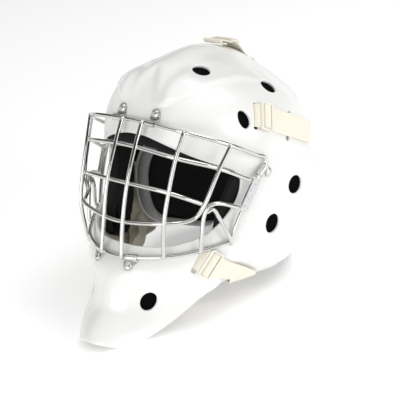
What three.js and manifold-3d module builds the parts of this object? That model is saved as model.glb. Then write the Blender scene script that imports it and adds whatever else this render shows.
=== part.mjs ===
// Ice-hockey goaltender's mask: a moulded shell with a welded wire cage, a padded back plate, elastic straps
// with slides, and foam pads. Millimetres. While the pieces are shaped, x points to the wearer's left, y to the
// back of the head and z up; the finished mask is then tipped back to stand on its chin and its back plate.

import * as THREE from 'three';
import { mergeVertices } from 'three/addons/utils/BufferGeometryUtils.js';
import Module from 'manifold-3d';

const wasm = await Module();
wasm.setup();

// ---- Driving dimensions ---------------------------------------------------------------------------------

const SHELL_WALL = 3.6;
const PLATE_WALL = 3.0;
const GAP = 0.3; // left between two pieces that touch
const GLUE_GAP = 0.8; // between a pad and the wall that it is glued to

const REST_SLOPE = 0.2; // rise of the resting plane towards the back
const REST_HEIGHT = -76.7; // height of the resting plane at y = 0

const WIRE_RADIUS = 2.0;
const WELD_OFFSET = 1.5; // of a crossing wire from the meeting point, so that two wires sink 1 mm into each other

const CLIP = { sheet: 0.9, hookRadius: 2.35, tabRadius: 5, tabEnd: 4.8 };
const SCREW = { headRadius: 4.2, headHeight: 2.4, shankRadius: 1.9, shankLength: 3.9, sides: 8 };
const SCREW_HOLE = 4.6;

const WEBBING = { width: 24, thickness: 1.4 };
const SLIDE = { length: 14, width: 27.6, bar: 2.2, thickness: 1.8 };
const STRAP_SLOT = { width: 7, length: 30 };
const SPARE_SLOT = { width: 3.5, length: 30 };
const PLATE_SLOT = { width: 6, length: 26 };

const FOREHEAD_FOAM = 14;
const SIDE_FOAM = 12;
const BACK_FOAM = 11;
const BORDER = { width: 7.5, thickness: 12 };

const SHELL_WHITE = { color: '#f4f4f2', roughness: 0.28, metalness: 0 };
const STEEL = { color: '#c9ccd0', roughness: 0.18, metalness: 1 };
const LABEL_WHITE = { color: '#e9e9e7', roughness: 0.5, metalness: 0 };
const FOAM_BLACK = { color: '#1d1e20', roughness: 0.95, metalness: 0 };
const BORDER_GREY = { color: '#a3a3a6', roughness: 0.9, metalness: 0 };
const WEBBING_CREAM = { color: '#ece6d2', roughness: 0.9, metalness: 0 };
const SLIDE_CREAM = { color: '#ece8da', roughness: 0.5, metalness: 0 };

// Horizontal sections of the shell from below the chin to the crown. Each is a rounded oval about (0, widest):
// front and rear are its ends on the centre plane, half is its greatest half-width, and the powers say how
// square it is in front of and behind its widest point.
const SHELL_SECTIONS = table(
  ['height', 'front', 'rear', 'half', 'widest', 'frontPower', 'rearPower'],
  [
    [-116, -164, 45, 34, -50, 2.1, 2.0],
    [-104, -166.5, 58, 48, -42, 2.0, 2.0],
    [-92, -159.5, 72, 63, -32, 1.88, 2.1],
    [-75, -144, 88, 78, -20, 1.7, 2.2],
    [-55, -139, 102, 89, -4, 1.65, 2.3],
    [-35, -133, 112, 98, 12, 1.95, 2.3],
    [-12, -117, 118, 105, 25, 2.0, 2.3],
    [15, -105, 121, 108, 35, 1.92, 2.3],
    [45, -100, 121, 107, 40, 2.05, 2.3],
    [75, -97.5, 115, 101, 38, 2.2, 2.3],
    [100, -91, 104, 92, 30, 2.4, 2.2],
    [122, -83.5, 85, 73, 19, 2.5, 2.05],
    [140, -71, 66, 45, 10, 2.4, 1.95],
    [153, -50, 42, 21.5, 0, 2.0, 1.9],
    [161, -5, -5, 0, -5, 2.0, 1.9],
  ],
);

// The back plate's sections, in the same terms.
const PLATE_SECTIONS = table(
  ['height', 'front', 'rear', 'half', 'widest', 'frontPower', 'rearPower'],
  [
    [-85, -60, 98, 72, 15, 2.0, 2.2],
    [-62, -70, 106, 78, 17, 2.0, 2.2],
    [-35, -75, 122, 86, 19, 2.0, 2.2],
    [0, -80, 131, 93, 20, 2.0, 2.2],
    [40, -80, 131, 93, 20, 2.0, 2.2],
    [70, -75, 118, 78, 20, 2.0, 2.1],
    [95, -65, 104, 62, 18, 2.0, 2.0],
    [118, -40, 76, 44, 15, 2.0, 2.0],
    [130, 10, 10, 0, 10, 2.0, 2.0],
  ],
);

// ---- Tables and small helpers ----------------------------------------------------------------------------

function table(columns, rows) {
  return rows.map((row) => Object.fromEntries(columns.map((name, i) => [name, row[i]])));
}

function smooth(low, high, value) {
  const t = Math.min(Math.max((value - low) / (high - low), 0), 1);
  return t * t * (3 - 2 * t);
}

function bell(distance, reach) {
  return Math.exp(-((distance / reach) ** 2));
}

// A straight-line reading between the points of a short [position, value] list.
function ramp(points, at) {
  if (at <= points[0][0]) return points[0][1];
  for (let i = 1; i < points.length; i += 1) {
    const [high, end] = points[i];
    if (at <= high) {
      const [low, start] = points[i - 1];
      return start + ((end - start) * (at - low)) / (high - low);
    }
  }
  return points[points.length - 1][1];
}

const vec = (x, y, z) => new THREE.Vector3(x, y, z);
const UP = vec(0, 0, 1);
const LATERAL = vec(1, 0, 0);
const BACKWARD = vec(0, 1, 0);

// ---- Relief of the shell, in mm along its outward normal --------------------------------------------------

const CREASE_HEIGHT = [[-84, 114], [-79, 119], [-66, 127], [-40, 133.5], [-12, 135.5], [3, 133], [20, 129]];
const LOBE_HEIGHT = [[-62, 2.8], [-30, 2.6], [-8, 1.8], [25, 0]]; // of the crown lobes over the crease, along y
const RIDGE_REACH = [[120, 16], [128, 13.5], [137, 10.5], [144, 6], [150, 2]]; // half-width of the brow valley
const EAR_LEDGE = [[0, 68], [20, 61], [53, 48]]; // height of the ledge above the ear flare, along y
const JAW_CREASE = [[-58, -24], [-27, -30], [13, -49]]; // height of the crease above the turned-under jaw edge

function crownLobes(x, y, z) {
  const side = Math.abs(x);
  const over = z - ramp(CREASE_HEIGHT, y);
  const lobe = ramp(LOBE_HEIGHT, y) * smooth(-1, 6, over) * (1 - smooth(8, 22, over)) * smooth(16, 30, side);
  const valley = 2.4 * smooth(110, 126, z) * (1 - smooth(142, 152, z)) * smooth(-40, -58, y);
  const trough = 1 - smooth(ramp(RIDGE_REACH, z) - 6, ramp(RIDGE_REACH, z) + 2, side);
  const dish = 3 * bell(Math.hypot(side - 33, (y + 38) * 0.8), 12) * smooth(-2, 6, over);
  return lobe - valley * trough - dish;
}

function earFlare(y, z) {
  const ledge = ramp(EAR_LEDGE, y);
  return 2.2 * smooth(2, 26, y) * smooth(ledge + 3, ledge - 4, z) * smooth(-60, -10, z);
}

function jawTuck(y, z) {
  const below = Math.min(Math.max(ramp(JAW_CREASE, y) - z, 0), 26);
  return -0.36 * below * smooth(-66, -46, y);
}

function chinCrease(x, y, z) {
  return -0.9 * smooth(-42.5, -46.5, z) * smooth(-78, -66, z) * smooth(20, 32, Math.abs(x)) * smooth(-60, -76, y);
}

function shellRelief({ x, y, z }) {
  return crownLobes(x, y, z) + earFlare(y, z) + jawTuck(y, z) + chinCrease(x, y, z);
}

// How finely each skin is divided: around it, and between two rows of its table.
const SHELL = { rows: SHELL_SECTIONS, relief: shellRelief, around: 36, steps: 2 };
const PAD_SKIN = { ...SHELL, around: 24, steps: 1 };
const PLATE = { rows: PLATE_SECTIONS, relief: () => 0, around: 24, steps: 1 };

// ---- Skins lofted through a table of sections -------------------------------------------------------------

// One section of a table at the row position s, read with a Catmull-Rom spline through the rows. Past the last
// row, which is the pole, the table goes on as its own mirror image, so that the top is round.
function sectionAt(rows, s) {
  const last = rows.length - 1;
  const index = Math.min(Math.floor(s), last - 1);
  const t = s - index;
  const pole = rows[last];
  const before = rows[last - 1];
  const beyond = {
    ...before,
    half: -before.half,
    front: 2 * pole.front - before.front,
    rear: 2 * pole.rear - before.rear,
    widest: 2 * pole.widest - before.widest,
  };
  const row = (i) => (i > last ? beyond : rows[Math.max(i, 0)]);
  const section = {};
  for (const key of Object.keys(pole)) {
    const [a, b, c, d] = [-1, 0, 1, 2].map((step) => row(index + step)[key]);
    const rise = (c - a) / 2;
    const fall = (d - b) / 2;
    section[key] = b + t * (rise + t * (3 * (c - b) - 2 * rise - fall + t * (2 * (b - c) + rise + fall)));
  }
  return section;
}

function basePoint(rows, s, angle) {
  const row = sectionAt(rows, s);
  const forward = Math.cos(angle);
  const sideways = Math.sin(angle);
  const ahead = forward > 0;
  const length = Math.max(ahead ? row.widest - row.front : row.rear - row.widest, 1e-6);
  const power = ahead ? row.frontPower : row.rearPower;
  const sum = Math.abs(sideways / Math.max(row.half, 1e-6)) ** power + Math.abs(forward / length) ** power;
  const reach = sum ** (-1 / power);
  return vec(reach * sideways, row.widest - reach * forward, row.height);
}

function baseNormal(rows, s, angle) {
  const step = 0.02;
  const low = Math.max(s - step, 0);
  const high = Math.min(s + step, rows.length - 1.001);
  const up = basePoint(rows, high, angle).sub(basePoint(rows, low, angle));
  const round = basePoint(rows, s, angle + step).sub(basePoint(rows, s, angle - step));
  return round.cross(up).normalize();
}

// A place on a skin: its point at the given lift, and the outward normal.
function placeAt(skin, s, angle, lift) {
  const base = basePoint(skin.rows, s, angle);
  const normal = baseNormal(skin.rows, s, angle);
  return { point: base.clone().addScaledVector(normal, skin.relief(base) + lift), normal };
}

function rowOfHeight(rows, height) {
  return bisect(0, rows.length - 1, (s) => sectionAt(rows, s).height < height);
}

function bisect(from, to, isBefore) {
  let [low, high] = [from, to];
  for (let i = 0; i < 32; i += 1) {
    const middle = (low + high) / 2;
    if (isBefore(middle)) low = middle;
    else high = middle;
  }
  return (low + high) / 2;
}

// The place at a given x on the front, at a given y on one side, and over a given (x, y) on the crown.
function onFront(skin, x, z, lift = 0) {
  const s = rowOfHeight(skin.rows, z);
  const angle = bisect(0, Math.PI / 2, (a) => basePoint(skin.rows, s, a).x < Math.abs(x));
  return placeAt(skin, s, Math.sign(x) * angle, lift);
}

function onSide(skin, y, z, lift = 0) {
  const s = rowOfHeight(skin.rows, z);
  return placeAt(skin, s, bisect(0, Math.PI, (a) => basePoint(skin.rows, s, a).y < y), lift);
}

// The place whose own point, with its relief and lift, is at a given y and z on the shell's left side.
function onShellSide(y, z, lift) {
  let [aimY, aimZ] = [y, z];
  let place = onSide(SHELL, aimY, aimZ, lift);
  for (let i = 0; i < 6; i += 1) {
    aimY += y - place.point.y;
    aimZ += z - place.point.z;
    place = onSide(SHELL, aimY, aimZ, lift);
  }
  return place;
}

function onCrown(skin, x, y, lift = 0) {
  const angleAt = (s) => Math.atan2(x, sectionAt(skin.rows, s).widest - y);
  const isOutside = (s) => {
    const { widest } = sectionAt(skin.rows, s);
    const point = basePoint(skin.rows, s, angleAt(s));
    return Math.hypot(point.x, point.y - widest) > Math.hypot(x, y - widest);
  };
  const s = bisect(skin.rows.length / 2, skin.rows.length - 1, isOutside);
  return placeAt(skin, s, angleAt(s), lift);
}

// ---- Solids, joins and cuts -------------------------------------------------------------------------------

function toSolid(geometry) {
  const bare = geometry.clone();
  bare.deleteAttribute('normal');
  bare.deleteAttribute('uv');
  const merged = mergeVertices(bare, 1e-3);
  return new wasm.Manifold(
    new wasm.Mesh({
      numProp: 3,
      vertProperties: new Float32Array(merged.attributes.position.array),
      triVerts: new Uint32Array(merged.index.array),
    }),
  );
}

function toGeometry(solid) {
  const { vertProperties, triVerts } = solid.getMesh();
  const geometry = new THREE.BufferGeometry();
  geometry.setAttribute('position', new THREE.BufferAttribute(new Float32Array(vertProperties), 3));
  geometry.setIndex(new THREE.BufferAttribute(new Uint32Array(triVerts), 1));
  return geometry;
}

// The mirror image of a solid across the centre plane.
function mirrored(solid) {
  const geometry = toGeometry(solid);
  const { position } = geometry.attributes;
  for (let i = 0; i < position.count; i += 1) position.setX(i, -position.getX(i));
  const index = geometry.index.array;
  for (let i = 0; i < index.length; i += 3) [index[i], index[i + 1]] = [index[i + 1], index[i]];
  return toSolid(geometry);
}

function meshOf(points, index) {
  const geometry = new THREE.BufferGeometry().setFromPoints(points);
  geometry.setIndex(index);
  return toSolid(geometry);
}

// A closed dome: the skin at the given lift, with a flat underside. Its two halves are mirror images.
function dome(skin, lift) {
  const { rows, around, steps } = skin;
  const rings = (rows.length - 1) * steps;
  const points = [];
  for (let i = 0; i < rings; i += 1) {
    for (let j = 0; j < around; j += 1) {
      points.push(placeAt(skin, i / steps, (2 * Math.PI * j) / around, lift).point);
    }
  }
  const pole = vec(0, rows[rows.length - 1].front, rows[rows.length - 1].height);
  points.push(pole.clone().addScaledVector(UP, lift + skin.relief(pole)));
  points.push(vec(0, rows[0].widest, rows[0].height));
  const top = rings * around;
  const index = [];
  for (let j = 0; j < around; j += 1) {
    const next = (j + 1) % around;
    for (let i = 0; i < rings - 1; i += 1) {
      const below = i * around;
      const above = below + around;
      if (2 * j < around) index.push(below + j, below + next, above + next, below + j, above + next, above + j);
      else index.push(below + j, below + next, above + j, below + next, above + next, above + j);
    }
    index.push(top - around + j, top - around + next, top, next, j, top + 1);
  }
  return meshOf(points, index);
}

// The wall of a skin between two lifts.
function layer(skin, outerLift, innerLift) {
  return dome(skin, outerLift).subtract(dome(skin, innerLift));
}

// A thin sheet on a grid of points, with the given thickness centred on them.
function sheet(grid, thickness) {
  const last = grid.length - 1;
  const across = grid[0].length;
  const faces = [thickness / 2, -thickness / 2].map((lift) =>
    grid.flatMap((row, i) =>
      row.map((point, j) => {
        const along = grid[Math.min(i + 1, last)][j].clone().sub(grid[Math.max(i - 1, 0)][j]);
        const over = row[Math.min(j + 1, across - 1)].clone().sub(row[Math.max(j - 1, 0)]);
        return point.clone().addScaledVector(along.cross(over).normalize(), lift);
      }),
    ),
  );
  const under = grid.length * across;
  const index = [];
  const quad = (a, b, c, d) => index.push(a, b, c, a, c, d);
  for (let i = 0; i < last; i += 1) {
    for (let j = 0; j < across - 1; j += 1) {
      const a = i * across + j;
      quad(a, a + across, a + across + 1, a + 1);
      quad(under + a, under + a + 1, under + a + across + 1, under + a + across);
    }
    const start = i * across;
    const end = start + across - 1;
    quad(start, under + start, under + start + across, start + across);
    quad(end, end + across, under + end + across, under + end);
  }
  for (let j = 0; j < across - 1; j += 1) {
    const far = last * across + j;
    quad(j, j + 1, under + j + 1, under + j);
    quad(far, under + far, under + far + 1, far + 1);
  }
  return meshOf(faces.flat(), index);
}

const SIDE_VIEW = new THREE.Matrix4().makeBasis(BACKWARD, UP, LATERAL);
const FRONT_VIEW = new THREE.Matrix4().makeBasis(LATERAL, UP, vec(0, -1, 0));
const FAR = 260; // past every side of the mask

function outline(points) {
  return new THREE.Shape(points.map(([a, b]) => new THREE.Vector2(a, b)));
}

function prism(shape, depth) {
  return new THREE.ExtrudeGeometry(shape, { depth, bevelEnabled: false, curveSegments: 4 });
}

// A prism on a (y, z) outline between two values of x, and one on an (x, z) outline forward of a value of y.
function sidePrism(points, from, to) {
  return toSolid(prism(outline(points), to - from).applyMatrix4(SIDE_VIEW).translate(from, 0, 0));
}

function frontPrism(half, back) {
  const other = half.slice(1, -1).reverse();
  const shape = outline([...half, ...other.map(([x, z]) => [-x, z])]);
  return toSolid(prism(shape, FAR).applyMatrix4(FRONT_VIEW).translate(0, back, 0));
}

// The frame of a place: its x axis follows the given direction along the skin, and its z axis is the normal.
function frameOf({ point, normal }, direction) {
  const across = direction.clone().addScaledVector(normal, -direction.dot(normal)).normalize();
  return new THREE.Matrix4().makeBasis(across, normal.clone().cross(across), normal).setPosition(point);
}

const CUT_DEPTH = 26;

function ovalCutter(place, direction, width, height, sides) {
  const geometry = new THREE.CylinderGeometry(0.5, 0.5, CUT_DEPTH, sides).rotateX(Math.PI / 2);
  return toSolid(geometry.scale(width, height, 1).applyMatrix4(frameOf(place, direction)));
}

function slotCutter(place, direction, { width, length }) {
  return toSolid(new THREE.BoxGeometry(length, width, CUT_DEPTH).applyMatrix4(frameOf(place, direction)));
}

// ---- Assembly ----------------------------------------------------------------------------------------------

const mask = new THREE.Group();

function addPiece(name, solid, finish) {
  const mesh = new THREE.Mesh(toGeometry(solid), new THREE.MeshStandardMaterial(finish));
  mesh.name = name;
  mask.add(mesh);
}

function addPair(name, solid, finish) {
  addPiece(`${name}_left`, solid, finish);
  addPiece(`${name}_right`, mirrored(solid), finish);
}

// ---- Cage wires ------------------------------------------------------------------------------------------

// Where the upright wires of the wearer's left meet the level ones. Each row is one level wire.
const CROSSINGS = {
  brow: { inner: vec(12.4, -97.3, 100.8), outer: vec(58.9, -92.6, 97.3), side: vec(88.7, -63.1, 84.7) },
  eye: { inner: vec(12.4, -106.8, 78.7), outer: vec(56.4, -100.8, 74.1), side: vec(84, -73.1, 63.7) },
  nose: { inner: vec(12.5, -118.1, 46.3), outer: vec(55, -109.4, 43), side: vec(77, -86, 31) },
  mouth: { inner: vec(12.1, -124.8, 10.5), outer: vec(53.6, -114.5, 14.6) },
  chin: { inner: vec(12.8, -128.4, -22.8), outer: vec(49.7, -111.1, -19.6), side: vec(72.6, -85.8, -15.2) },
};
const FRAME_CORNER = vec(86.5, -58.9, -8.9); // where the chin wire meets the end of the frame

// A point moved level away from the middle of the head.
function outward(point, distance) {
  const away = vec(point.x, point.y + 10, 0).normalize();
  return point.clone().addScaledVector(away, distance);
}

const front = (point) => outward(point, WELD_OFFSET);
const behind = (point) => outward(point, -WELD_OFFSET);
const flipped = (points) => points.map(({ x, y, z }) => vec(-x, y, z)).reverse();
const fullWidth = (half) => [...flipped(half), ...half];

const FRAME_HALF = [
  behind(CROSSINGS.brow.inner),
  behind(CROSSINGS.brow.outer),
  behind(CROSSINGS.brow.side),
  vec(96, -32, 70.6),
  vec(98.6, -22.5, 66.5),
  vec(98.9, -22.4, 60.5),
  vec(98, -34.1, 49.2),
  vec(92, -50, 17),
  FRAME_CORNER,
];
const CHIN_HALF = [
  behind(CROSSINGS.chin.inner),
  behind(CROSSINGS.chin.outer),
  behind(CROSSINGS.chin.side),
  outward(FRAME_CORNER, WELD_OFFSET),
];
const EYE_END = vec(96.3, -42, 48.5);
const EYE_HALF = [behind(CROSSINGS.eye.inner), behind(CROSSINGS.eye.outer), behind(CROSSINGS.eye.side), EYE_END];
const NOSE_HALF = [behind(CROSSINGS.nose.inner), behind(CROSSINGS.nose.outer), behind(CROSSINGS.nose.side)];
// The side upright bends inwards under the cheek and goes on as the mouth wire.
const MOUTH_HALF = [
  behind(CROSSINGS.mouth.inner),
  behind(CROSSINGS.mouth.outer),
  vec(64.5, -99, 15.2),
  vec(70.5, -90.5, 18.5),
  front(CROSSINGS.nose.side),
  front(CROSSINGS.eye.side),
  front(CROSSINGS.brow.side),
];
const INNER_UPRIGHT = ['brow', 'eye', 'nose', 'mouth', 'chin'].map((level) => front(CROSSINGS[level].inner));
const OUTER_UPRIGHT = ['brow', 'eye', 'nose', 'mouth', 'chin'].map((level) => front(CROSSINGS[level].outer));
// The short upright beside the mouth arches back to the label plate, and a strut runs from it to the corner.
const ARCH = [
  front(CROSSINGS.chin.side),
  vec(74.8, -85.8, 5),
  vec(75.3, -84.2, 18),
  vec(78, -80.5, 28.5),
  vec(83, -72.5, 30.5),
  vec(91.5, -53.6, 24),
];
const STRUT = [
  vec(76.5, -80.5, 23),
  vec(79.5, -76, 25),
  vec(82.4, -70.5, 16),
  outward(FRAME_CORNER, 4),
  vec(87.6, -58.6, -11.6),
];

const WIRE_STEPS = 2; // between two points of a wire
const WIRE_SECTION = outline(
  [0, 1, 2, 3, 4, 5].map((i) => [
    WIRE_RADIUS * Math.cos((i * Math.PI) / 3),
    WIRE_RADIUS * Math.sin((i * Math.PI) / 3),
  ]),
);

function curveOf(points) {
  return new THREE.CatmullRomCurve3(points, false, 'centripetal');
}

const stepsOf = (points) => (points.length - 1) * WIRE_STEPS;

function wire(points) {
  const path = { steps: stepsOf(points), extrudePath: curveOf(points) };
  return toSolid(new THREE.ExtrudeGeometry(WIRE_SECTION, path));
}

// The plate for the label bridges the eye wire, the arch and the side of the frame.
const LABEL_PLATE = { width: 10, length: 34, thickness: 1.6, lift: 1.5 };
const LABEL = { width: 9.4, length: 32.6, thickness: 0.5 };

function labelFrame() {
  const along = vec(5.2, 14, 28.2).normalize();
  const normal = along.clone().cross(vec(0.2, 1, 0)).normalize().negate();
  const across = normal.clone().cross(along).negate();
  return new THREE.Matrix4().makeBasis(across, along, normal).setPosition(94.9, -42.6, 34.7);
}

function labelBox({ width, length, thickness }, lift) {
  return toSolid(new THREE.BoxGeometry(width, length, thickness).translate(0, 0, lift).applyMatrix4(labelFrame()));
}

function buildCage() {
  const shared = [FRAME_HALF, CHIN_HALF, EYE_HALF, NOSE_HALF, MOUTH_HALF].map((half) => wire(fullWidth(half)));
  const plate = labelBox(LABEL_PLATE, LABEL_PLATE.lift);
  const paired = [wire(INNER_UPRIGHT), wire(OUTER_UPRIGHT), wire(ARCH), wire(STRUT), plate];
  return [...shared, ...paired, ...paired.map(mirrored)].reduce((cage, piece) => cage.add(piece));
}

addPiece('cage', buildCage(), STEEL);
const LABEL_LIFT = LABEL_PLATE.lift + (LABEL_PLATE.thickness + LABEL.thickness) / 2 + GAP;
addPair('label', labelBox(LABEL, LABEL_LIFT), LABEL_WHITE);

// ---- Clips and screws ------------------------------------------------------------------------------------

// Each clip is as wide as its hook, which is shifted along the wire from its screw.
const FIXINGS = {
  top: { place: onFront(SHELL, 20.9, 107.9), width: 11, shift: 0 },
  side: { place: onSide(SHELL, -17.9, 51.9), width: 12, shift: -4.4 },
  bottom: { place: onFront(SHELL, 19.5, -30.3), width: 11, shift: 3.6 },
};
const TAB_LIFT = 2 * GAP;

// Places along the straight lengths of the frame and of the chin wire, each with the direction of the wire.
function wirePlaces() {
  const shares = Array.from({ length: 60 }, (_, i) => (i + 0.5) / 60);
  return [FRAME_HALF, CHIN_HALF].flatMap((half) => {
    const points = fullWidth(half);
    const knots = curveOf(points).getSpacedPoints(stepsOf(points));
    return knots.slice(1).flatMap((knot, i) => {
      const tangent = knot.clone().sub(knots[i]).normalize();
      return shares.map((share) => ({ point: knots[i].clone().lerp(knot, share), tangent }));
    });
  });
}

function nearest(places, point) {
  const distance = (place) => place.point.distanceTo(point);
  return places.reduce((best, place) => (distance(place) < distance(best) ? place : best));
}

const WIRE_PLACES = wirePlaces();

// The frame of a fixing: x runs along the wire, z leaves the shell and y points to the wire. Also the place of
// the middle of the hook in it.
function fixingFrame({ place: { point, normal }, shift }) {
  const foot = nearest(WIRE_PLACES, point);
  const turn = Math.sign(foot.point.clone().sub(point).cross(normal).dot(foot.tangent));
  const hook = nearest(WIRE_PLACES, foot.point.clone().addScaledVector(foot.tangent, turn * shift));
  const axis = hook.tangent.clone().multiplyScalar(turn);
  const outwards = normal.clone().addScaledVector(axis, -normal.dot(axis)).normalize();
  const frame = new THREE.Matrix4().makeBasis(axis, outwards.clone().cross(axis), outwards).setPosition(point);
  return { frame, centre: hook.point.clone().applyMatrix4(frame.clone().invert()) };
}

// A folded sheet clip: a tab with a round end under the screw, a leg, and a hook over the wire.
function clip(fixing) {
  const { frame, centre } = fixingFrame(fixing);
  const { sheet: thickness, hookRadius, tabRadius, tabEnd } = CLIP;
  const start = centre.x - fixing.width / 2;
  const arc = (radius) => [180, 144, 108, 72, 36, 0, -30].map((degrees) => {
    const angle = THREE.MathUtils.degToRad(degrees);
    return [centre.y + radius * Math.cos(angle), centre.z + radius * Math.sin(angle)];
  });
  const hook = outline([
    ...arc(hookRadius + thickness),
    ...arc(hookRadius).reverse(),
    [tabEnd + thickness * 0.6, TAB_LIFT],
    [tabEnd - 0.2, TAB_LIFT],
    [tabEnd - 0.2, TAB_LIFT + thickness],
  ]);
  const upright = new THREE.Matrix4().makeBasis(BACKWARD, UP, LATERAL).setPosition(start, 0, 0);
  const left = Math.min(-tabRadius, start);
  const right = Math.max(tabRadius, start + fixing.width);
  const tab = new THREE.Shape().absarc(0, 0, tabRadius, Math.PI, 2 * Math.PI);
  tab.lineTo(right, tabEnd - 1.5).lineTo(right, tabEnd).lineTo(left, tabEnd).lineTo(left, tabEnd - 1.5);
  tab.holes.push(new THREE.Path().absarc(0, 0, SCREW_HOLE / 2, 0, 2 * Math.PI));
  return toSolid(prism(tab, thickness).translate(0, 0, TAB_LIFT))
    .add(toSolid(prism(hook, fixing.width).applyMatrix4(upright)))
    .transform(frame.toArray());
}

function screw(fixing) {
  const seat = TAB_LIFT + CLIP.sheet + GAP;
  const top = seat + SCREW.headHeight;
  const profile = [
    [0, -SCREW.shankLength],
    [SCREW.shankRadius, -SCREW.shankLength],
    [SCREW.shankRadius, seat],
    [SCREW.headRadius, seat],
    [SCREW.headRadius * 0.8, top],
    [0, top],
  ];
  const lathe = new THREE.LatheGeometry(profile.map(([r, h]) => new THREE.Vector2(r, h)), SCREW.sides);
  return toSolid(lathe.rotateX(Math.PI / 2).applyMatrix4(fixingFrame(fixing).frame));
}

for (const [name, fixing] of Object.entries(FIXINGS)) {
  addPair(`clip_${name}`, clip(fixing), STEEL);
  addPair(`screw_${name}`, screw(fixing), STEEL);
}

// ---- Shell ------------------------------------------------------------------------------------------------

const restHeight = (y) => REST_HEIGHT + REST_SLOPE * y;

// What stays of the shell, seen from the side: its rear edge with the ear flare, the jaw edge and the chin.
const SHELL_PROFILE = [
  [-FAR, FAR],
  [70, FAR],
  [70, 136],
  [68, 124],
  [61, 112],
  [52, 102],
  [46, 88],
  [43, 70],
  [45, 60],
  [53, 49],
  [57, 38],
  [57, 15],
  [53, -8],
  [46, -29],
  [33, -47],
  [20, -55.5],
  [6, -57.2],
  [-24, -56.7],
  [-45, -57.5],
  [-52, -56.6],
  [-60, -57.4],
  [-78, -69],
  [-97, -83],
  [-112, -93],
  [-127, restHeight(-127)],
  [-145, restHeight(-145)],
  [-156, -103.5],
  [-166, -100.5],
  [-FAR, -95],
];

// The face opening, seen from the front: half of its outline from the brow to the chin.
const FACE_OPENING = [
  [0, 87],
  [12, 86.5],
  [28, 82.5],
  [44, 76.5],
  [60, 69],
  [74, 61.5],
  [81.5, 56],
  [84.5, 50],
  [85, 41],
  [83.5, 30],
  [79.5, 17],
  [74.5, 5.5],
  [68, -3],
  [58, -8.5],
  [44, -12.5],
  [24, -14],
  [0, -14],
];
const OPENING_BACK = -22;

// Vents on the wearer's left. The lean turns an oval round its own axis.
const VENTS = [
  { place: onCrown(SHELL, 33.5, -38), width: 17, height: 17, lean: 0 },
  { place: onSide(SHELL, 20.5, 124.8), width: 16, height: 16, lean: 0 },
  { place: onSide(SHELL, -33.5, 103), width: 11.5, height: 17.5, lean: 0 },
  { place: onSide(SHELL, 16, 33.5), width: 16, height: 18, lean: -0.3 },
  { place: onSide(SHELL, -12, -0.5), width: 15.5, height: 19, lean: -0.4 },
  { place: onFront(SHELL, 37, -64.5), width: 14.5, height: 18.5, lean: -0.5 },
];

// ---- Straps ----------------------------------------------------------------------------------------------

// The side straps leave the shell by a front slot, pass through a slide, follow the shell backwards and end in
// the back plate. Start is the front edge of the slide, and the two directions are in the side view.
const UPPER = { y: -16.6, z: 103.7, alongY: 0.93, alongZ: -0.37, acrossY: 0.44, acrossZ: 0.81 };
const LOWER = { y: -83, z: -25.8, alongY: 0.86, alongZ: -0.5, acrossY: 0.42, acrossZ: 0.66 };
const STRAP_LIFT = 2 * GAP + WEBBING.thickness / 2;
const INNER_LIFT = -SHELL_WALL - 4 * GAP - WEBBING.thickness / 2;
const SLOT_AT = -2.8; // middle of the shell's slot, along the strap

function strapPlace({ y, z, alongY, alongZ, acrossY, acrossZ }, along, across, lift) {
  return onSide(SHELL, y + alongY * along + acrossY * across, z + alongZ * along + acrossZ * across, lift);
}

// The frame of a slide lying on the skin: x across the strap, y along it to the front, z outwards.
function slideFrame(strap) {
  const centre = strapPlace(strap, SLIDE.length / 2, 0, 0);
  const end = strapPlace(strap, SLIDE.length / 2, 1, 0);
  return frameOf(centre, end.point.sub(centre.point));
}

const TOP_SLIDE_AT = 39; // y of the middle of the slide on the crown
const topSlideFrame = () => frameOf(onCrown(SHELL, 0, TOP_SLIDE_AT), LATERAL.clone().negate());

// The way of the webbing through a slide, as [distance behind the slide's front edge, height]: under the front
// bar, over the middle bar and under the rear bar.
function threading(standoff) {
  const low = standoff - GAP - WEBBING.thickness / 2;
  const high = standoff + SLIDE.thickness + GAP + WEBBING.thickness / 2;
  const bar = SLIDE.bar;
  const middle = SLIDE.length / 2;
  return [
    [0, low],
    [bar + 0.2, low],
    [bar + 1.3, low + 1],
    [middle - bar / 2 - 1.3, high - 0.6],
    [middle - bar / 2, high],
    [middle + bar / 2, high],
    [middle + bar / 2 + 1.3, high - 0.6],
    [SLIDE.length - bar - 1.3, low + 1],
    [SLIDE.length - bar - 0.2, low],
    [SLIDE.length, low],
  ];
}

const ACROSS = [1, 0, -1].map((side) => (side * WEBBING.width) / 2);

function threadedRows(frame, points) {
  return points.map(([along, height]) =>
    ACROSS.map((across) => vec(across, SLIDE.length / 2 - along, height).applyMatrix4(frame)),
  );
}

function slide(frame, standoff) {
  const { length, width, bar, thickness } = SLIDE;
  const plate = outline([
    [-width / 2, -length / 2 + 1.5],
    [-width / 2 + 1.5, -length / 2],
    [width / 2 - 1.5, -length / 2],
    [width / 2, -length / 2 + 1.5],
    [width / 2, length / 2 - 1.5],
    [width / 2 - 1.5, length / 2],
    [-width / 2 + 1.5, length / 2],
    [-width / 2, length / 2 - 1.5],
  ]);
  const inner = WEBBING.width / 2 + GAP;
  for (const side of [1, -1]) {
    const near = (side * bar) / 2;
    const far = side * (length / 2 - bar);
    const hole = [[-inner, near], [inner, near], [inner, far], [-inner, far]];
    plate.holes.push(new THREE.Path(hole.map(([x, y]) => new THREE.Vector2(x, y))));
  }
  return toSolid(prism(plate, thickness).translate(0, 0, standoff).applyMatrix4(frame));
}

const SIDE_STANDOFF = 3 * GAP + WEBBING.thickness;
const TOP_STANDOFF = SIDE_STANDOFF + 3.2;

// Rows of the webbing on the skin, from [along at its back edge, along at its front edge, lift] triples.
function skinRows(strap, points) {
  return points.map(([back, fore, lift]) =>
    ACROSS.map((across) => {
      const along = (back + fore) / 2 + ((back - fore) * across) / WEBBING.width;
      return strapPlace(strap, along, across, lift).point;
    }),
  );
}

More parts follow.
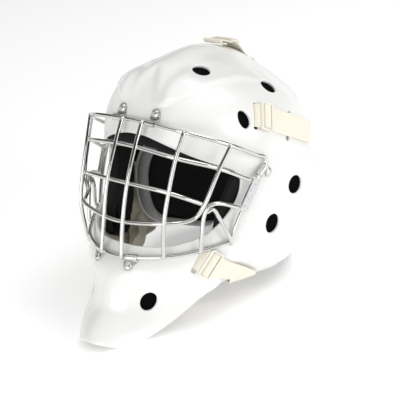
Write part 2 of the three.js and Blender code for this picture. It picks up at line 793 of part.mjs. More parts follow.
// Rows between two rows of points, at the given shares of the way.
function between(start, end, shares) {
  return shares.map((share) => start.map((point, i) => point.clone().lerp(end[i], share)));
}

const TAIL = [
  [-13, INNER_LIFT],
  [-6, INNER_LIFT],
  [-3.9, -SHELL_WALL],
  [-1.2, 0.1],
].map(([along, lift]) => [along, along, lift]);

// The slots of the back plate: the middle of each, and the way of the webbing's width and of its run there.
const upperEnd = slotFrame(onSide(PLATE, 84, 62), onSide(PLATE, 88.3, 72.3));
const lowerEnd = slotFrame(onSide(PLATE, 30, -10), onSide(PLATE, 24, -2));
const topEnd = slotFrame(placeAt(PLATE, rowOfHeight(PLATE.rows, 84), Math.PI, 0), { point: vec(-12, 104, 84) });

function slotFrame(middle, { point }) {
  return frameOf(middle, point.clone().sub(middle.point));
}

// The webbing's last rows: over the plate's outer face and down into its slot.
function slotRows(frame, side, run) {
  return [
    [-9, STRAP_LIFT + 0.4],
    [-3.6, STRAP_LIFT + 0.3],
    [-1.4, 0.3],
    [0, -1.6],
    [0.6, -PLATE_WALL],
  ].map(([along, lift]) => ACROSS.map((across) => vec(across * side, along * run, lift).applyMatrix4(frame)));
}

function upperStrap() {
  const out = [20, 30, 42, 54, 61, 68].map((along) => [along, along, STRAP_LIFT + 0.008 * along]);
  const rows = [
    ...skinRows(UPPER, TAIL),
    ...threadedRows(slideFrame(UPPER), threading(SIDE_STANDOFF)),
    ...skinRows(UPPER, out),
  ];
  const end = slotRows(upperEnd, 1, -1);
  return sheet([...rows, ...between(rows[rows.length - 1], end[0], [0.3, 0.65]), ...end], WEBBING.thickness);
}

// The lower strap turns round the jaw edge and goes on behind the shell. The fold follows the edge, so its rows
// slant there: each has its back edge, its front edge and its lift.
const RIM_LIFT = STRAP_LIFT + 0.6;
const JAW_RUN = [[0.28, 2.7], [0.5, 3.7], [0.7, 3.6], [0.86, 3]]; // [share of the way to the fold, lift]
const JAW_FOLD = [
  { back: [-14.5, -53], front: [-44.5, -54.5], lift: RIM_LIFT + 0.8 },
  { back: [-12.6, -57.2], front: [-42.8, -58.6], lift: RIM_LIFT + 0.8 },
  { back: [-12, -58.6], front: [-42, -59.8], lift: 0.8 },
  { back: [-11.7, -59], front: [-41.5, -59.8], lift: -1.8 },
  { back: [-11.2, -58.6], front: [-41, -59.3], lift: -4.4 },
  { back: [-10.6, -56], front: [-40, -56.4], lift: INNER_LIFT - 0.6 },
  { back: [-9, -53.6], front: [-33, -49], lift: INNER_LIFT - 0.4 },
  { back: [-5, -50.5], front: [-22, -38.5], lift: INNER_LIFT - 0.4 },
  { back: [5, -43], front: [-8, -27], lift: INNER_LIFT - 0.4 },
  { back: [15, -33], front: [4, -15], lift: INNER_LIFT - 1.4 },
];

function foldRow({ back, front: fore, lift }) {
  return [0, 0.5, 1].map((share) => {
    const y = back[0] + (fore[0] - back[0]) * share;
    const z = back[1] + (fore[1] - back[1]) * share;
    return onShellSide(y, z, lift).point;
  });
}

function lowerStrap() {
  const [start] = skinRows(LOWER, [[20, 18, STRAP_LIFT]]);
  const fold = JAW_FOLD.map(foldRow);
  const onJaw = JAW_RUN.map(([share, lift]) =>
    start.map((point, i) => {
      const { y, z } = point.clone().lerp(fold[0][i], share);
      return onShellSide(y, z, lift).point;
    }),
  );
  const rows = [
    ...skinRows(LOWER, TAIL),
    ...threadedRows(slideFrame(LOWER), threading(SIDE_STANDOFF)),
    start,
    ...onJaw,
    ...fold,
    ...slotRows(lowerEnd, -1, 1),
  ];
  return sheet(rows, WEBBING.thickness);
}

function topStrap() {
  const low = TOP_STANDOFF - GAP - WEBBING.thickness / 2;
  const onTop = [[54, STRAP_LIFT + 0.6], [60, STRAP_LIFT], [66, STRAP_LIFT]].map(([y, lift]) =>
    ACROSS.map((across) => onCrown(SHELL, -across, y, lift).point),
  );
  const over = ACROSS.map((across) => vec(-across, 72.5, 138.4 + (across === 0 ? 0.5 : 0)));
  const end = slotRows(topEnd, 1, 1);
  const rows = [
    ...threadedRows(topSlideFrame(), [[-14, low - 0.4], [-6, low], ...threading(TOP_STANDOFF)]),
    ...onTop,
    over,
    ...between(over, end[0], [0.35, 0.7]),
    ...end,
  ];
  return sheet(rows, WEBBING.thickness);
}

addPair('upper_strap', upperStrap(), WEBBING_CREAM);
addPair('upper_slide', slide(slideFrame(UPPER), SIDE_STANDOFF), SLIDE_CREAM);
addPair('lower_strap', lowerStrap(), WEBBING_CREAM);
addPair('lower_slide', slide(slideFrame(LOWER), SIDE_STANDOFF), SLIDE_CREAM);
addPiece('top_strap', topStrap(), WEBBING_CREAM);
addPiece('top_slide', slide(topSlideFrame(), TOP_STANDOFF), SLIDE_CREAM);

function shellCutters() {
  const cutters = VENTS.map(({ place, width, height, lean }) =>
    ovalCutter(place, vec(0, Math.cos(lean), Math.sin(lean)), width, height, 10),
  );
  for (const fixing of Object.values(FIXINGS)) {
    const hole = new THREE.CylinderGeometry(SCREW_HOLE / 2, SCREW_HOLE / 2, CUT_DEPTH, SCREW.sides);
    cutters.push(toSolid(hole.rotateX(Math.PI / 2).applyMatrix4(fixingFrame(fixing).frame)));
  }
  for (const strap of [UPPER, LOWER]) {
    const middle = strapPlace(strap, SLOT_AT, 0, 0);
    const end = strapPlace(strap, SLOT_AT, 1, 0);
    cutters.push(slotCutter(middle, end.point.sub(middle.point), STRAP_SLOT));
  }
  const spare = strapPlace(UPPER, 38, 0, 0);
  const end = strapPlace(UPPER, 38, 1, 0);
  cutters.push(slotCutter(spare, end.point.sub(spare.point), SPARE_SLOT));
  return cutters;
}

function buildShell() {
  const body = layer(SHELL, 0, -SHELL_WALL).intersect(sidePrism(SHELL_PROFILE, -FAR, FAR));
  const open = body.subtract(frontPrism(FACE_OPENING, OPENING_BACK));
  return shellCutters().reduce((solid, cutter) => solid.subtract(cutter).subtract(mirrored(cutter)), open);
}

addPiece('shell', buildShell(), SHELL_WHITE);

// ---- Back plate and its liner -----------------------------------------------------------------------------

const PLATE_PROFILE = [
  [-1, 12],
  [-1, -10],
  [4, -30],
  [20, -45],
  [38, -51.5],
  [58, -57],
  [72, -60],
  [83, restHeight(83)],
  [FAR, restHeight(FAR)],
  [FAR, 95],
  [115, 92],
  [75, 76],
  [36, 56],
  [9, 35],
];

// The outline moved inwards by a distance, corner by corner.
function inset(points, distance) {
  return points.map(([y, z], i) => {
    const [beforeY, beforeZ] = points[(i + points.length - 1) % points.length];
    const [afterY, afterZ] = points[(i + 1) % points.length];
    const into = new THREE.Vector2(y - beforeY, z - beforeZ).normalize();
    const out = new THREE.Vector2(afterY - y, afterZ - z).normalize();
    const share = distance / (1 + into.dot(out));
    return [y - (into.y + out.y) * share, z + (into.x + out.x) * share];
  });
}

function buildBackPlate() {
  const { width, length } = PLATE_SLOT;
  const slot = (frame) => toSolid(new THREE.BoxGeometry(length, width, CUT_DEPTH).applyMatrix4(frame));
  const body = layer(PLATE, 0, -PLATE_WALL).intersect(sidePrism(PLATE_PROFILE, -FAR, FAR));
  const cutters = [slot(upperEnd), slot(lowerEnd), mirrored(slot(upperEnd)), mirrored(slot(lowerEnd)), slot(topEnd)];
  return cutters.reduce((solid, cutter) => solid.subtract(cutter), body);
}

const liner = -PLATE_WALL - GLUE_GAP;
const borderOuter = sidePrism(inset(PLATE_PROFILE, 0.5), -FAR, FAR);
const borderInner = sidePrism(inset(PLATE_PROFILE, BORDER.width), -FAR, FAR);
const padOutline = sidePrism(inset(PLATE_PROFILE, BORDER.width + GAP), -FAR, FAR);

addPiece('back_plate', buildBackPlate(), SHELL_WHITE);
addPiece('back_pad', layer(PLATE, liner, liner - BACK_FOAM).intersect(padOutline), FOAM_BLACK);
addPiece(
  'back_pad_border',
  layer(PLATE, liner, liner - BORDER.thickness).intersect(borderOuter).subtract(borderInner),
  BORDER_GREY,
);

// ---- Pads inside the shell ----------------------------------------------------------------------------------

const FOREHEAD_PAD = [
  [0, 111],
  [30, 110.5],
  [52, 109],
  [68, 101],
  [75, 88],
  [73, 60],
  [64, 59],
  [40, 68.5],
  [20, 74],
  [0, 76],
];
const SIDE_PAD = [
  [-30, 58],
  [-45, 48],
  [-52, 28],
  [-58, 10],
  [-64, -8],
  [-65, -29],
  [-52, -41],
  [-30, -40],
  [-13, -29],
  [-4, -10],
  [-3, 40],
  [-12, 55],
];
// Openings in the lower front of the side pad, between its diagonal arms.
const PAD_OPENINGS = [
  [[-61, -12], [-57, -10], [-50, -31], [-54, -34]],
  [[-50, -9], [-45, -7], [-39, -28], [-43, -32]],
];

const shellLiner = -SHELL_WALL - GLUE_GAP;
const strapChannel = sheet(
  [
    ...JAW_FOLD.slice(5).map((row) => foldRow({ ...row, back: stretched(row, -2), front: stretched(row, 2) })),
  ],
  WEBBING.thickness + 8 * GAP,
);

function stretched({ back, front: fore }, by) {
  const length = Math.hypot(fore[0] - back[0], fore[1] - back[1]);
  const from = by < 0 ? back : fore;
  return from.map((value, i) => value + ((fore[i] - back[i]) / length) * by);
}

function buildSidePad() {
  const body = layer(SHELL, shellLiner, shellLiner - SIDE_FOAM).intersect(sidePrism(SIDE_PAD, 20, FAR));
  const pierced = PAD_OPENINGS.reduce((solid, hole) => solid.subtract(sidePrism(hole, 20, FAR)), body);
  return pierced.subtract(strapChannel);
}

addPiece(
  'forehead_pad',
  layer(PAD_SKIN, shellLiner - 0.5, shellLiner - FOREHEAD_FOAM).intersect(frontPrism(FOREHEAD_PAD, OPENING_BACK)),
  FOAM_BLACK,
);
addPair('side_pad', buildSidePad(), FOAM_BLACK);

// ---- Chin strap ----------------------------------------------------------------------------------------------

// The sling under the chin, from its anchor on the wearer's left to the centre: its upper and lower edge.
const CHIN_STRAP = { thickness: 1.8 };
const SLING_HALF = [
  { upper: vec(1, -83, -78), lower: vec(1, -66, -88) },
  { upper: vec(22, -79, -73), lower: vec(20, -62, -83) },
  { upper: vec(42, -66, -64), lower: vec(39, -52, -77) },
  { upper: vec(57, -46, -53), lower: vec(55, -37, -65.5) },
  { upper: vec(65, -33, -49.5), lower: vec(62, -28, -62) },
];
// Its end lies against the lower strap's inner run.
const SLING_END = [
  { y: -20, top: -45.5, foot: -58.5, lift: INNER_LIFT - 7 },
  { y: -11, top: -41, foot: -54.5, lift: INNER_LIFT - 4.8 },
  { y: -3, top: -37, foot: -51, lift: INNER_LIFT - 3.6 },
  { y: 6, top: -32, foot: -46, lift: INNER_LIFT - 3.4 },
];

function chinStrap() {
  const ends = SLING_END.map(({ y, top, foot, lift }) => [top, foot].map((z) => onShellSide(y, z, lift).point));
  const half = [...SLING_HALF.map(({ upper, lower }) => [upper, lower]), ...ends];
  const other = half.map((row) => row.map(({ x, y, z }) => vec(-x, y, z))).reverse();
  return sheet([...other, ...half], CHIN_STRAP.thickness);
}

addPiece('chin_strap', chinStrap(), WEBBING_CREAM);

// ---- Resting pose ----------------------------------------------------------------------------------------------

// The mask is tipped back until the resting plane is level, and moved so that the origin is the middle of the
// footprint, on the floor.
mask.rotation.x = -Math.atan(REST_SLOPE);
mask.updateMatrixWorld(true);
const extent = new THREE.Box3().setFromObject(mask, true);
mask.position.set(0, -(extent.min.y + extent.max.y) / 2, -extent.min.z);

const goalieMask = new THREE.Group();
goalieMask.add(mask);
export default goalieMask;
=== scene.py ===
"""Looks of an ice-hockey goaltender's mask.

The part's frame is loaded, its faceted pieces are replaced by smooth ones built from the same named sizes,
every surface gets its finish, and a plain studio is set up round the mask. The pieces are shaped in
millimetres with x to the wearer's left, y to the back of the head and z up, and are then tipped back to the
resting pose of the shared frame.
"""

import logging
import math
from dataclasses import dataclass, field, replace
from enum import Enum
from typing import Callable, Sequence

import bmesh
import bpy
import numpy as np
from mathutils import Matrix, Vector


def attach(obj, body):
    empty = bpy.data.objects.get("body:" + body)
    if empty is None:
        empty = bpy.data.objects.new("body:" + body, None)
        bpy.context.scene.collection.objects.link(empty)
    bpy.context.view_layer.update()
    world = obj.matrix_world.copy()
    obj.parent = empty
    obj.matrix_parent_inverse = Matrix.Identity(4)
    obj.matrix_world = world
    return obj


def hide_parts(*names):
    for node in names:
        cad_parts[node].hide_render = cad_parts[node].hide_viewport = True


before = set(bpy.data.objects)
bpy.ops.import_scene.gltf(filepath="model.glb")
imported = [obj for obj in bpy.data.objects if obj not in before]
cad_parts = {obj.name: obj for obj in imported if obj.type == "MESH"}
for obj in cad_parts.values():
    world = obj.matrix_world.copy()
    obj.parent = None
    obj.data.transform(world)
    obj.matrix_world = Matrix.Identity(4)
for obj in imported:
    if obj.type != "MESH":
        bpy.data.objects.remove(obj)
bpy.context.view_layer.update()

Array = np.ndarray
Face = tuple[int, ...]
Node = bpy.types.Node
Piece = bpy.types.Object
Place = tuple[Array, Array]  # a point of a skin, and the outward normal there
Socket = bpy.types.NodeSocket
Tree = bpy.types.NodeTree
LOG = logging.getLogger("goalie_mask")

# ---- Driving dimensions, in millimetres --------------------------------------

MM = 0.001
SHELL_WALL = 3.6
PLATE_WALL = 3.0
GAP = 0.3
GLUE_GAP = 0.8
WELD_OFFSET = 1.5
REST_SLOPE = 0.2
REST_HEIGHT = -76.7
REST_SHIFT = (0.0, 22.699, 75.2105)
WEBBING_WIDTH = 24.0
WEBBING_THICKNESS = 1.4
SLIDE_LENGTH = 14.0
SLIDE_BAR = 2.2
SLIDE_THICKNESS = 1.8
STRAP_LIFT = 2 * GAP + WEBBING_THICKNESS / 2
INNER_LIFT = -SHELL_WALL - 4 * GAP - WEBBING_THICKNESS / 2
SIDE_STANDOFF = 3 * GAP + WEBBING_THICKNESS
TOP_STANDOFF = SIDE_STANDOFF + 3.2
HOLE_REACH = 13.0  # how far along its axis a hole reaches, each way
SLOT_CORNER = 1.6
FAR = 260.0


class Side(Enum):
    """The two sides of the wearer."""

    LEFT = "left"
    RIGHT = "right"


# ---- Small numeric helpers ---------------------------------------------------


def smooth(low: float | Array, high: float | Array, value: Array) -> Array:
    """A soft step from 0 at low to 1 at high."""
    t = np.clip((value - low) / (high - low), 0, 1)
    return t * t * (3 - 2 * t)


def bell(distance: Array, reach: float) -> Array:
    """A soft hump that is 1 at distance 0."""
    return np.exp(-((distance / reach) ** 2))


def ramp(points: Sequence[tuple[float, float]], at: Array) -> Array:
    """A straight-line reading between the points of a short table."""
    xs, ys = zip(*points)
    return np.interp(at, xs, ys)


def unit(vectors: Array) -> Array:
    """Vectors scaled to length 1."""
    length = np.linalg.norm(vectors, axis=-1, keepdims=True)
    return vectors / np.maximum(length, 1e-12)


def vec(x: float, y: float, z: float) -> Array:
    """A point or a direction."""
    return np.array([x, y, z], float)


def tipped(vectors: Array) -> Array:
    """Directions turned from the wearing pose to the resting pose."""
    c, s = math.cos(math.atan(REST_SLOPE)), math.sin(math.atan(REST_SLOPE))
    return np.asarray(vectors, float) @ np.array([(1, 0, 0), (0, c, -s), (0, s, c)])


def to_world(points: Array) -> Array:
    """Points of the wearing pose in millimetres, as points of the shared frame in metres."""
    return (tipped(points) + np.array(REST_SHIFT)) * MM


def placed(name: str, data: bpy.types.ID) -> Piece:
    """A new object of the scene, at the origin.

    Args:
        name: Its name.
        data: Its mesh, lamp or camera.

    Returns:
        The object.
    """
    piece = bpy.data.objects.new(name, data)
    bpy.context.scene.collection.objects.link(piece)
    return piece


def spline(points: Array, steps: int) -> Array:
    """A centripetal Catmull-Rom curve through points.

    Args:
        points: The points, as an array of rows; each may itself be an array.
        steps: How many pieces each length between two points is divided into.

    Returns:
        The points along the curve, both ends included.
    """
    pts = np.asarray(points, float)
    shape = pts.shape[1:]
    flat = pts.reshape(len(pts), -1)
    ends = np.vstack([2 * flat[0] - flat[1], flat, 2 * flat[-1] - flat[-2]])
    out = []
    for i in range(len(flat) - 1):
        a, b, c, d = ends[i : i + 4]
        knots = [max(np.linalg.norm(q - p) ** 0.5, 1e-4) for p, q in ((a, b), (b, c), (c, d))]
        start = (b - a) / knots[0] - (c - a) / (knots[0] + knots[1]) + (c - b) / knots[1]
        end = (c - b) / knots[1] - (d - b) / (knots[1] + knots[2]) + (d - c) / knots[2]
        start, end = start * knots[1], end * knots[1]
        for t in np.arange(steps) / steps:
            out.append(
                b + t * (start + t * (3 * (c - b) - 2 * start - end + t * (2 * (b - c) + start + end)))
            )
    out.append(flat[-1])
    return np.array(out).reshape((-1, *shape))


# ---- Skins lofted through a table of sections --------------------------------

# Each row is height, front, rear, half width, widest y, front power, rear power.
SHELL_SECTIONS = np.array(
    [
        [-116, -164, 45, 34, -50, 2.1, 2.0],
        [-104, -166.5, 58, 48, -42, 2.0, 2.0],
        [-92, -159.5, 72, 63, -32, 1.88, 2.1],
        [-75, -144, 88, 78, -20, 1.7, 2.2],
        [-55, -139, 102, 89, -4, 1.65, 2.3],
        [-35, -133, 112, 98, 12, 1.95, 2.3],
        [-12, -117, 118, 105, 25, 2.0, 2.3],
        [15, -105, 121, 108, 35, 1.92, 2.3],
        [45, -100, 121, 107, 40, 2.05, 2.3],
        [75, -97.5, 115, 101, 38, 2.2, 2.3],
        [100, -91, 104, 92, 30, 2.4, 2.2],
        [122, -83.5, 85, 73, 19, 2.5, 2.05],
        [140, -71, 66, 45, 10, 2.4, 1.95],
        [153, -50, 42, 21.5, 0, 2.0, 1.9],
        [161, -5, -5, 0, -5, 2.0, 1.9],
    ]
)
PLATE_SECTIONS = np.array(
    [
        [-85, -60, 98, 72, 15, 2.0, 2.2],
        [-62, -70, 106, 78, 17, 2.0, 2.2],
        [-35, -75, 122, 86, 19, 2.0, 2.2],
        [0, -80, 131, 93, 20, 2.0, 2.2],
        [40, -80, 131, 93, 20, 2.0, 2.2],
        [70, -75, 118, 78, 20, 2.0, 2.1],
        [95, -65, 104, 62, 18, 2.0, 2.0],
        [118, -40, 76, 44, 15, 2.0, 2.0],
        [130, 10, 10, 0, 10, 2.0, 2.0],
    ]
)
CREASE_HEIGHT = [(-84, 116.5), (-79, 120.5), (-66, 126.5), (-40, 132), (-12, 134), (3, 132), (20, 128.5)]
LOBE_HEIGHT = [(-62, 4.0), (-30, 3.8), (-8, 2.6), (25, 0)]
RIDGE_REACH = [(120, 16), (128, 13.5), (137, 10.5), (144, 6), (150, 2)]
EAR_LEDGE = [(0, 68), (20, 61), (53, 48)]
JAW_CREASE = [(-58, -24), (-27, -30), (13, -49)]
VALLEY_DEPTH = 2.5
DISH_DEPTH, DISH_REACH = 3.0, 12.0
EAR_FLARE = 2.2
JAW_TUCK = 0.36  # for each millimetre below the crease, down to TUCK_END below it
TUCK_END = 26.0
CHIN_CREASE = 0.9


def shell_relief(points: Array) -> Array:
    """Height of the moulded lobes, valley, ledges and creases over the shell's smooth skin.

    Args:
        points: Points of the smooth skin.

    Returns:
        The heights, outwards.
    """
    x, y, z = np.moveaxis(points, -1, 0)
    side = np.abs(x)
    over = z - ramp(CREASE_HEIGHT, y)
    lobe = ramp(LOBE_HEIGHT, y) * smooth(-2, 1, over) * (1 - smooth(7, 24, over)) * smooth(16, 30, side)
    valley = VALLEY_DEPTH * smooth(110, 126, z) * (1 - smooth(142, 152, z)) * smooth(-40, -58, y)
    reach = ramp(RIDGE_REACH, z)
    trough = 1 - smooth(reach - 9, reach + 5, side)
    dish = DISH_DEPTH * bell(np.hypot(side - 33, (y + 38) * 0.8), DISH_REACH) * smooth(-2, 6, over)
    ledge = ramp(EAR_LEDGE, y)
    ear = EAR_FLARE * smooth(2, 26, y) * smooth(ledge + 3, ledge - 4, z) * smooth(-60, -10, z)
    tuck = -JAW_TUCK * np.clip(ramp(JAW_CREASE, y) - z, 0, TUCK_END) * smooth(-66, -46, y)
    chin = -CHIN_CREASE * smooth(-42.5, -46.5, z) * smooth(-78, -66, z) * smooth(20, 32, side)
    return lobe - valley * trough - dish + ear + tuck + chin * smooth(-60, -76, y)


@dataclass(frozen=True)
class Skin:
    """A closed dome through horizontal sections, with a relief along its normal."""

    rows: Array
    relief: Callable[[Array], Array]

    @property
    def top(self) -> int:
        """Row position of the pole."""
        return len(self.rows) - 1

    def section(self, s: Array) -> Array:
        """The section's seven sizes at row positions s.

        Args:
            s: Row positions.

        Returns:
            The sizes, in the order of the table's columns.
        """
        s = np.asarray(s, float)
        index = np.minimum(np.floor(s).astype(int), self.top - 1)
        t = (s - index)[..., None]
        pole, before = self.rows[self.top], self.rows[self.top - 1]
        beyond = before.copy()
        beyond[3] = -before[3]
        for k in (1, 2, 4):
            beyond[k] = 2 * pole[k] - before[k]
        rows = np.vstack([self.rows, beyond])
        a, b, c, d = (rows[np.clip(index + k, 0, self.top + 1)] for k in (-1, 0, 1, 2))
        rise, fall = (c - a) / 2, (d - b) / 2
        return b + t * (rise + t * (3 * (c - b) - 2 * rise - fall + t * (2 * (b - c) + rise + fall)))

    def base(self, s: Array, angle: Array) -> Array:
        """Points of the smooth skin.

        Args:
            s: Row positions.
            angle: Angles from straight ahead, towards the wearer's left.

        Returns:
            The points.
        """
        z, front, rear, half, widest, ahead_power, behind_power = np.moveaxis(self.section(s), -1, 0)
        forward, sideways = np.cos(angle), np.sin(angle)
        ahead = forward > 0
        length = np.maximum(np.where(ahead, widest - front, rear - widest), 1e-6)
        power = np.where(ahead, ahead_power, behind_power)
        half = np.maximum(half, 1e-6)
        total = np.abs(sideways / half) ** power + np.abs(forward / length) ** power
        reach = total ** (-1 / power)
        return np.stack([reach * sideways, widest - reach * forward, z], -1)

    def normal(self, s: Array, angle: Array) -> Array:
        """Outward normals of the smooth skin.

        Args:
            s: Row positions.
            angle: Angles from straight ahead, towards the wearer's left.

        Returns:
            The normals, of length 1.
        """
        step = 0.02
        low, high = np.maximum(s - step, 0), np.minimum(s + step, self.top - 0.001)
        up = self.base(high, angle) - self.base(low, angle)
        around = self.base(s, angle + step) - self.base(s, angle - step)
        normals = unit(np.cross(around, up))
        normals[np.asarray(s) > self.top - 0.01] = (0, 0, 1)
        return normals

    def place(self, s: Array, angle: Array, lift: float | Array = 0.0) -> Place:
        """Points at a lift from the skin with its relief, and the outward normals there.

        Args:
            s: Row positions.
            angle: Angles from straight ahead, towards the wearer's left.
            lift: Height over the skin and its relief.

        Returns:
            The points, and the normals.
        """
        s, angle = np.atleast_1d(np.asarray(s, float)), np.atleast_1d(np.asarray(angle, float))
        base, normal = self.base(s, angle), self.normal(s, angle)
        height = self.relief(base) + lift
        return base + normal * height[..., None], normal

    def row_of_height(self, z: float) -> float:
        """Row position whose height is z."""
        rows = np.linspace(0, self.top, 1401)
        return float(np.interp(z, self.section(rows)[:, 0], rows))

    def found(self, axis: int, value: float, z: float, angles: Array, lift: float) -> Place:
        """The place at a height whose smooth skin has a given x or y.

        Args:
            axis: 0 for x, 1 for y.
            value: The coordinate.
            z: The height.
            angles: Angles to look among, over which the coordinate grows.
            lift: Height over the skin and its relief.

        Returns:
            The point at that lift, and the outward normal there.
        """
        s = self.row_of_height(z)
        angle = np.interp(value, self.base(np.full(len(angles), s), angles)[:, axis], angles)
        point, normal = self.place(s, angle, lift)
        return point[0], normal[0]

    def on_side(self, y: float, z: float, lift: float = 0.0) -> Place:
        """The place on the wearer's left whose smooth skin has a given y and z."""
        return self.found(1, y, z, np.linspace(0.001, math.pi, 1201), lift)

    def on_front(self, x: float, z: float, lift: float = 0.0) -> Place:
        """The place on the left of the front whose smooth skin has a given x and z."""
        return self.found(0, x, z, np.linspace(0, math.pi / 2, 801), lift)

    def on_true_side(self, y: float, z: float, lift: float) -> Array:
        """The point on the left that itself has a given y and z, with its relief and lift.

        Args:
            y: Its y.
            z: Its height.
            lift: Height over the skin and its relief.

        Returns:
            The point.
        """
        aim_y, aim_z = y, z
        point, _ = self.on_side(aim_y, aim_z, lift)
        for _ in range(6):
            aim_y += y - point[1]
            aim_z += z - point[2]
            point, _ = self.on_side(aim_y, aim_z, lift)
        return point

    def on_crown(self, x: float, y: float, lift: float = 0.0) -> Place:
        """The place on the crown over a given x and y.

        Args:
            x: Its x.
            y: Its y.
            lift: Height over the skin and its relief.

        Returns:
            The point at that lift, and the outward normal there.
        """
        low, high = len(self.rows) / 2, float(self.top)
        for _ in range(32):
            s = (low + high) / 2
            widest = self.section(s)[4]
            angle = math.atan2(x, widest - y)
            point = self.base(np.array([s]), np.array([angle]))[0]
            outside = math.hypot(point[0], point[1] - widest) > math.hypot(x, y - widest)
            low, high = (s, high) if outside else (low, s)
        point, normal = self.place(s, angle, lift)
        return point[0], normal[0]

    def rows_every(self, pitch: float) -> Array:
        """Row positions spaced so that no two are further apart than a pitch anywhere on the skin.

        Args:
            pitch: The pitch.

        Returns:
            The row positions, from the lowest to the pole.
        """
        angles = np.linspace(0, 2 * math.pi, 16, endpoint=False)
        positions = [0.0]
        for i in range(self.top):
            start, end = (self.base(np.full(16, float(k)), angles) for k in (i, i + 1))
            count = math.ceil(np.linalg.norm(end - start, axis=1).max() / pitch)
            positions.extend(i + (k + 1) / count for k in range(count))
        return np.array(positions)


SHELL_SKIN = Skin(SHELL_SECTIONS, shell_relief)
PLATE_SKIN = Skin(PLATE_SECTIONS, lambda points: 0 * points[..., 0])

# ---- Meshes ------------------------------------------------------------------


@dataclass
class Form:
    """A mesh in millimetres in the wearing pose, with the texture coordinates and finish of its faces."""

    points: Array
    faces: list[Face]
    uv: Array | None = None
    finish: list[int] | None = None

    def joined(self, *others: "Form") -> "Form":
        """This form and others as one.

        Args:
            others: The other forms.

        Returns:
            The joined form, without texture coordinates.
        """
        points, faces, finish = [self.points], list(self.faces), list(self.finish or [0] * len(self.faces))
        count = len(self.points)
        for other in others:
            points.append(other.points)
            faces.extend(tuple(i + count for i in face) for face in other.faces)
            finish.extend(other.finish or [0] * len(other.faces))
            count += len(other.points)
        return Form(np.vstack(points), faces, None, finish)

    def mirrored(self) -> "Form":
        """The mirror image across the centre plane."""
        faces = [tuple(reversed(face)) for face in self.faces]
        return Form(self.points * (-1, 1, 1), faces, self.uv, self.finish)

    def on(self, side: Side) -> "Form":
        """This form, drawn for the left, on a given side."""
        return self if side is Side.LEFT else self.mirrored()

    def build(self, name: str, *nodes: str, crease: float = 180.0) -> Piece:
        """Makes the object that stands for the named nodes of the frame.

        Args:
            name: Name of the new object.
            nodes: Frame nodes that it replaces.
            crease: Edges that fold by more than this angle, in degrees, stay sharp.

        Returns:
            The new object, riding with the mask.
        """
        mesh = bpy.data.meshes.new(name)
        mesh.from_pydata(to_world(self.points).tolist(), [], self.faces)
        mesh.update()
        if self.finish is not None:
            mesh.polygons.foreach_set("material_index", self.finish)
        if self.uv is not None:
            layer = mesh.uv_layers.new(name="cloth")
            corners = np.zeros(len(mesh.loops), int)
            mesh.loops.foreach_get("vertex_index", corners)
            layer.data.foreach_set("uv", (self.uv[corners] * MM).ravel())
        edit = bmesh.new()
        edit.from_mesh(mesh)
        bmesh.ops.remove_doubles(edit, verts=edit.verts, dist=2e-6)
        bmesh.ops.recalc_face_normals(edit, faces=edit.faces)
        edit.to_mesh(mesh)
        edit.free()
        mesh.shade_smooth()
        if crease < 180:
            mesh.set_sharp_from_angle(angle=math.radians(crease))
        piece = placed(name.replace(" ", "_"), mesh)
        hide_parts(*nodes)
        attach(piece, "root")
        return piece


@dataclass(frozen=True)
class Outline:
    """A closed outline on a plane, as an array of its corners."""

    corners: Array

    def inside(self, points: Array) -> tuple[Array, Array]:
        """Distance of points from the outline, positive inside it.

        Args:
            points: Points of the plane, one a row.

        Returns:
            The distances, and the unit directions in which they change.
        """
        start, end = self.corners, np.roll(self.corners, -1, axis=0)
        span = end - start
        square = np.maximum((span**2).sum(1), 1e-9)
        distances, ways = [], []
        for block in np.array_split(points, max(1, len(points) // 3000)):
            away = block[:, None, :] - start[None]
            share = np.clip((away * span).sum(2) / square, 0, 1)
            gap = away - share[..., None] * span
            size = np.linalg.norm(gap, axis=2)
            nearest = size.argmin(1)
            pick = np.arange(len(block))
            crosses = (start[:, 1] > block[:, 1:2]) != (end[:, 1] > block[:, 1:2])
            rise = np.where(span[:, 1] == 0, 1e-9, span[:, 1])
            at = start[:, 0] + (block[:, 1:2] - start[:, 1]) / rise * span[:, 0]
            within = (crosses & (block[:, 0:1] < at)).sum(1) % 2 == 1
            distances.append(np.where(within, 1, -1) * size[pick, nearest])
            ways.append(unit(gap[pick, nearest]))
        return np.concatenate(distances), np.vstack(ways)


def along_surface(distance: Array, way: Array, normals: Array) -> Array:
    """A distance in a straight view, as the distance along the surface that it is read on."""
    slant = np.sqrt(np.clip(1 - (way * normals).sum(1) ** 2, 0.06, 1))
    return distance / slant


def to_left(points: Array) -> Array:
    """Points of the wearer's right mirrored to the left, and those of the left as they are."""
    return points * np.where(points[:, :1] < 0, (-1, 1, 1), (1, 1, 1))


def side_view(outline: Outline, points: Array, normals: Array) -> Array:
    """Distance inside an outline of (y, z) points, along the surface."""
    distance, way = outline.inside(points[:, 1:3])
    return along_surface(distance, np.column_stack([np.zeros(len(way)), way]), normals)


def front_view(outline: Outline, points: Array, normals: Array) -> Array:
    """Distance inside an outline of (x, z) points, along the surface."""
    distance, way = outline.inside(points[:, [0, 2]])
    return along_surface(distance, np.column_stack([way[:, 0], np.zeros(len(way)), way[:, 1]]), normals)


def above_rest(points: Array, normals: Array, thickness: float) -> Array:
    """Distance of a wall's lower face above the resting plane, along the surface.

    Args:
        points: Points at mid-wall.
        normals: The skin's outward normals there.
        thickness: Thickness of the wall.

    Returns:
        The distances, positive above.
    """
    up = unit(vec(0, -REST_SLOPE, 1))
    lower = np.minimum((points + normals * thickness / 2) @ up, (points - normals * thickness / 2) @ up)
    return along_surface(lower - REST_HEIGHT * up[2], np.tile(up, (len(points), 1)), normals)


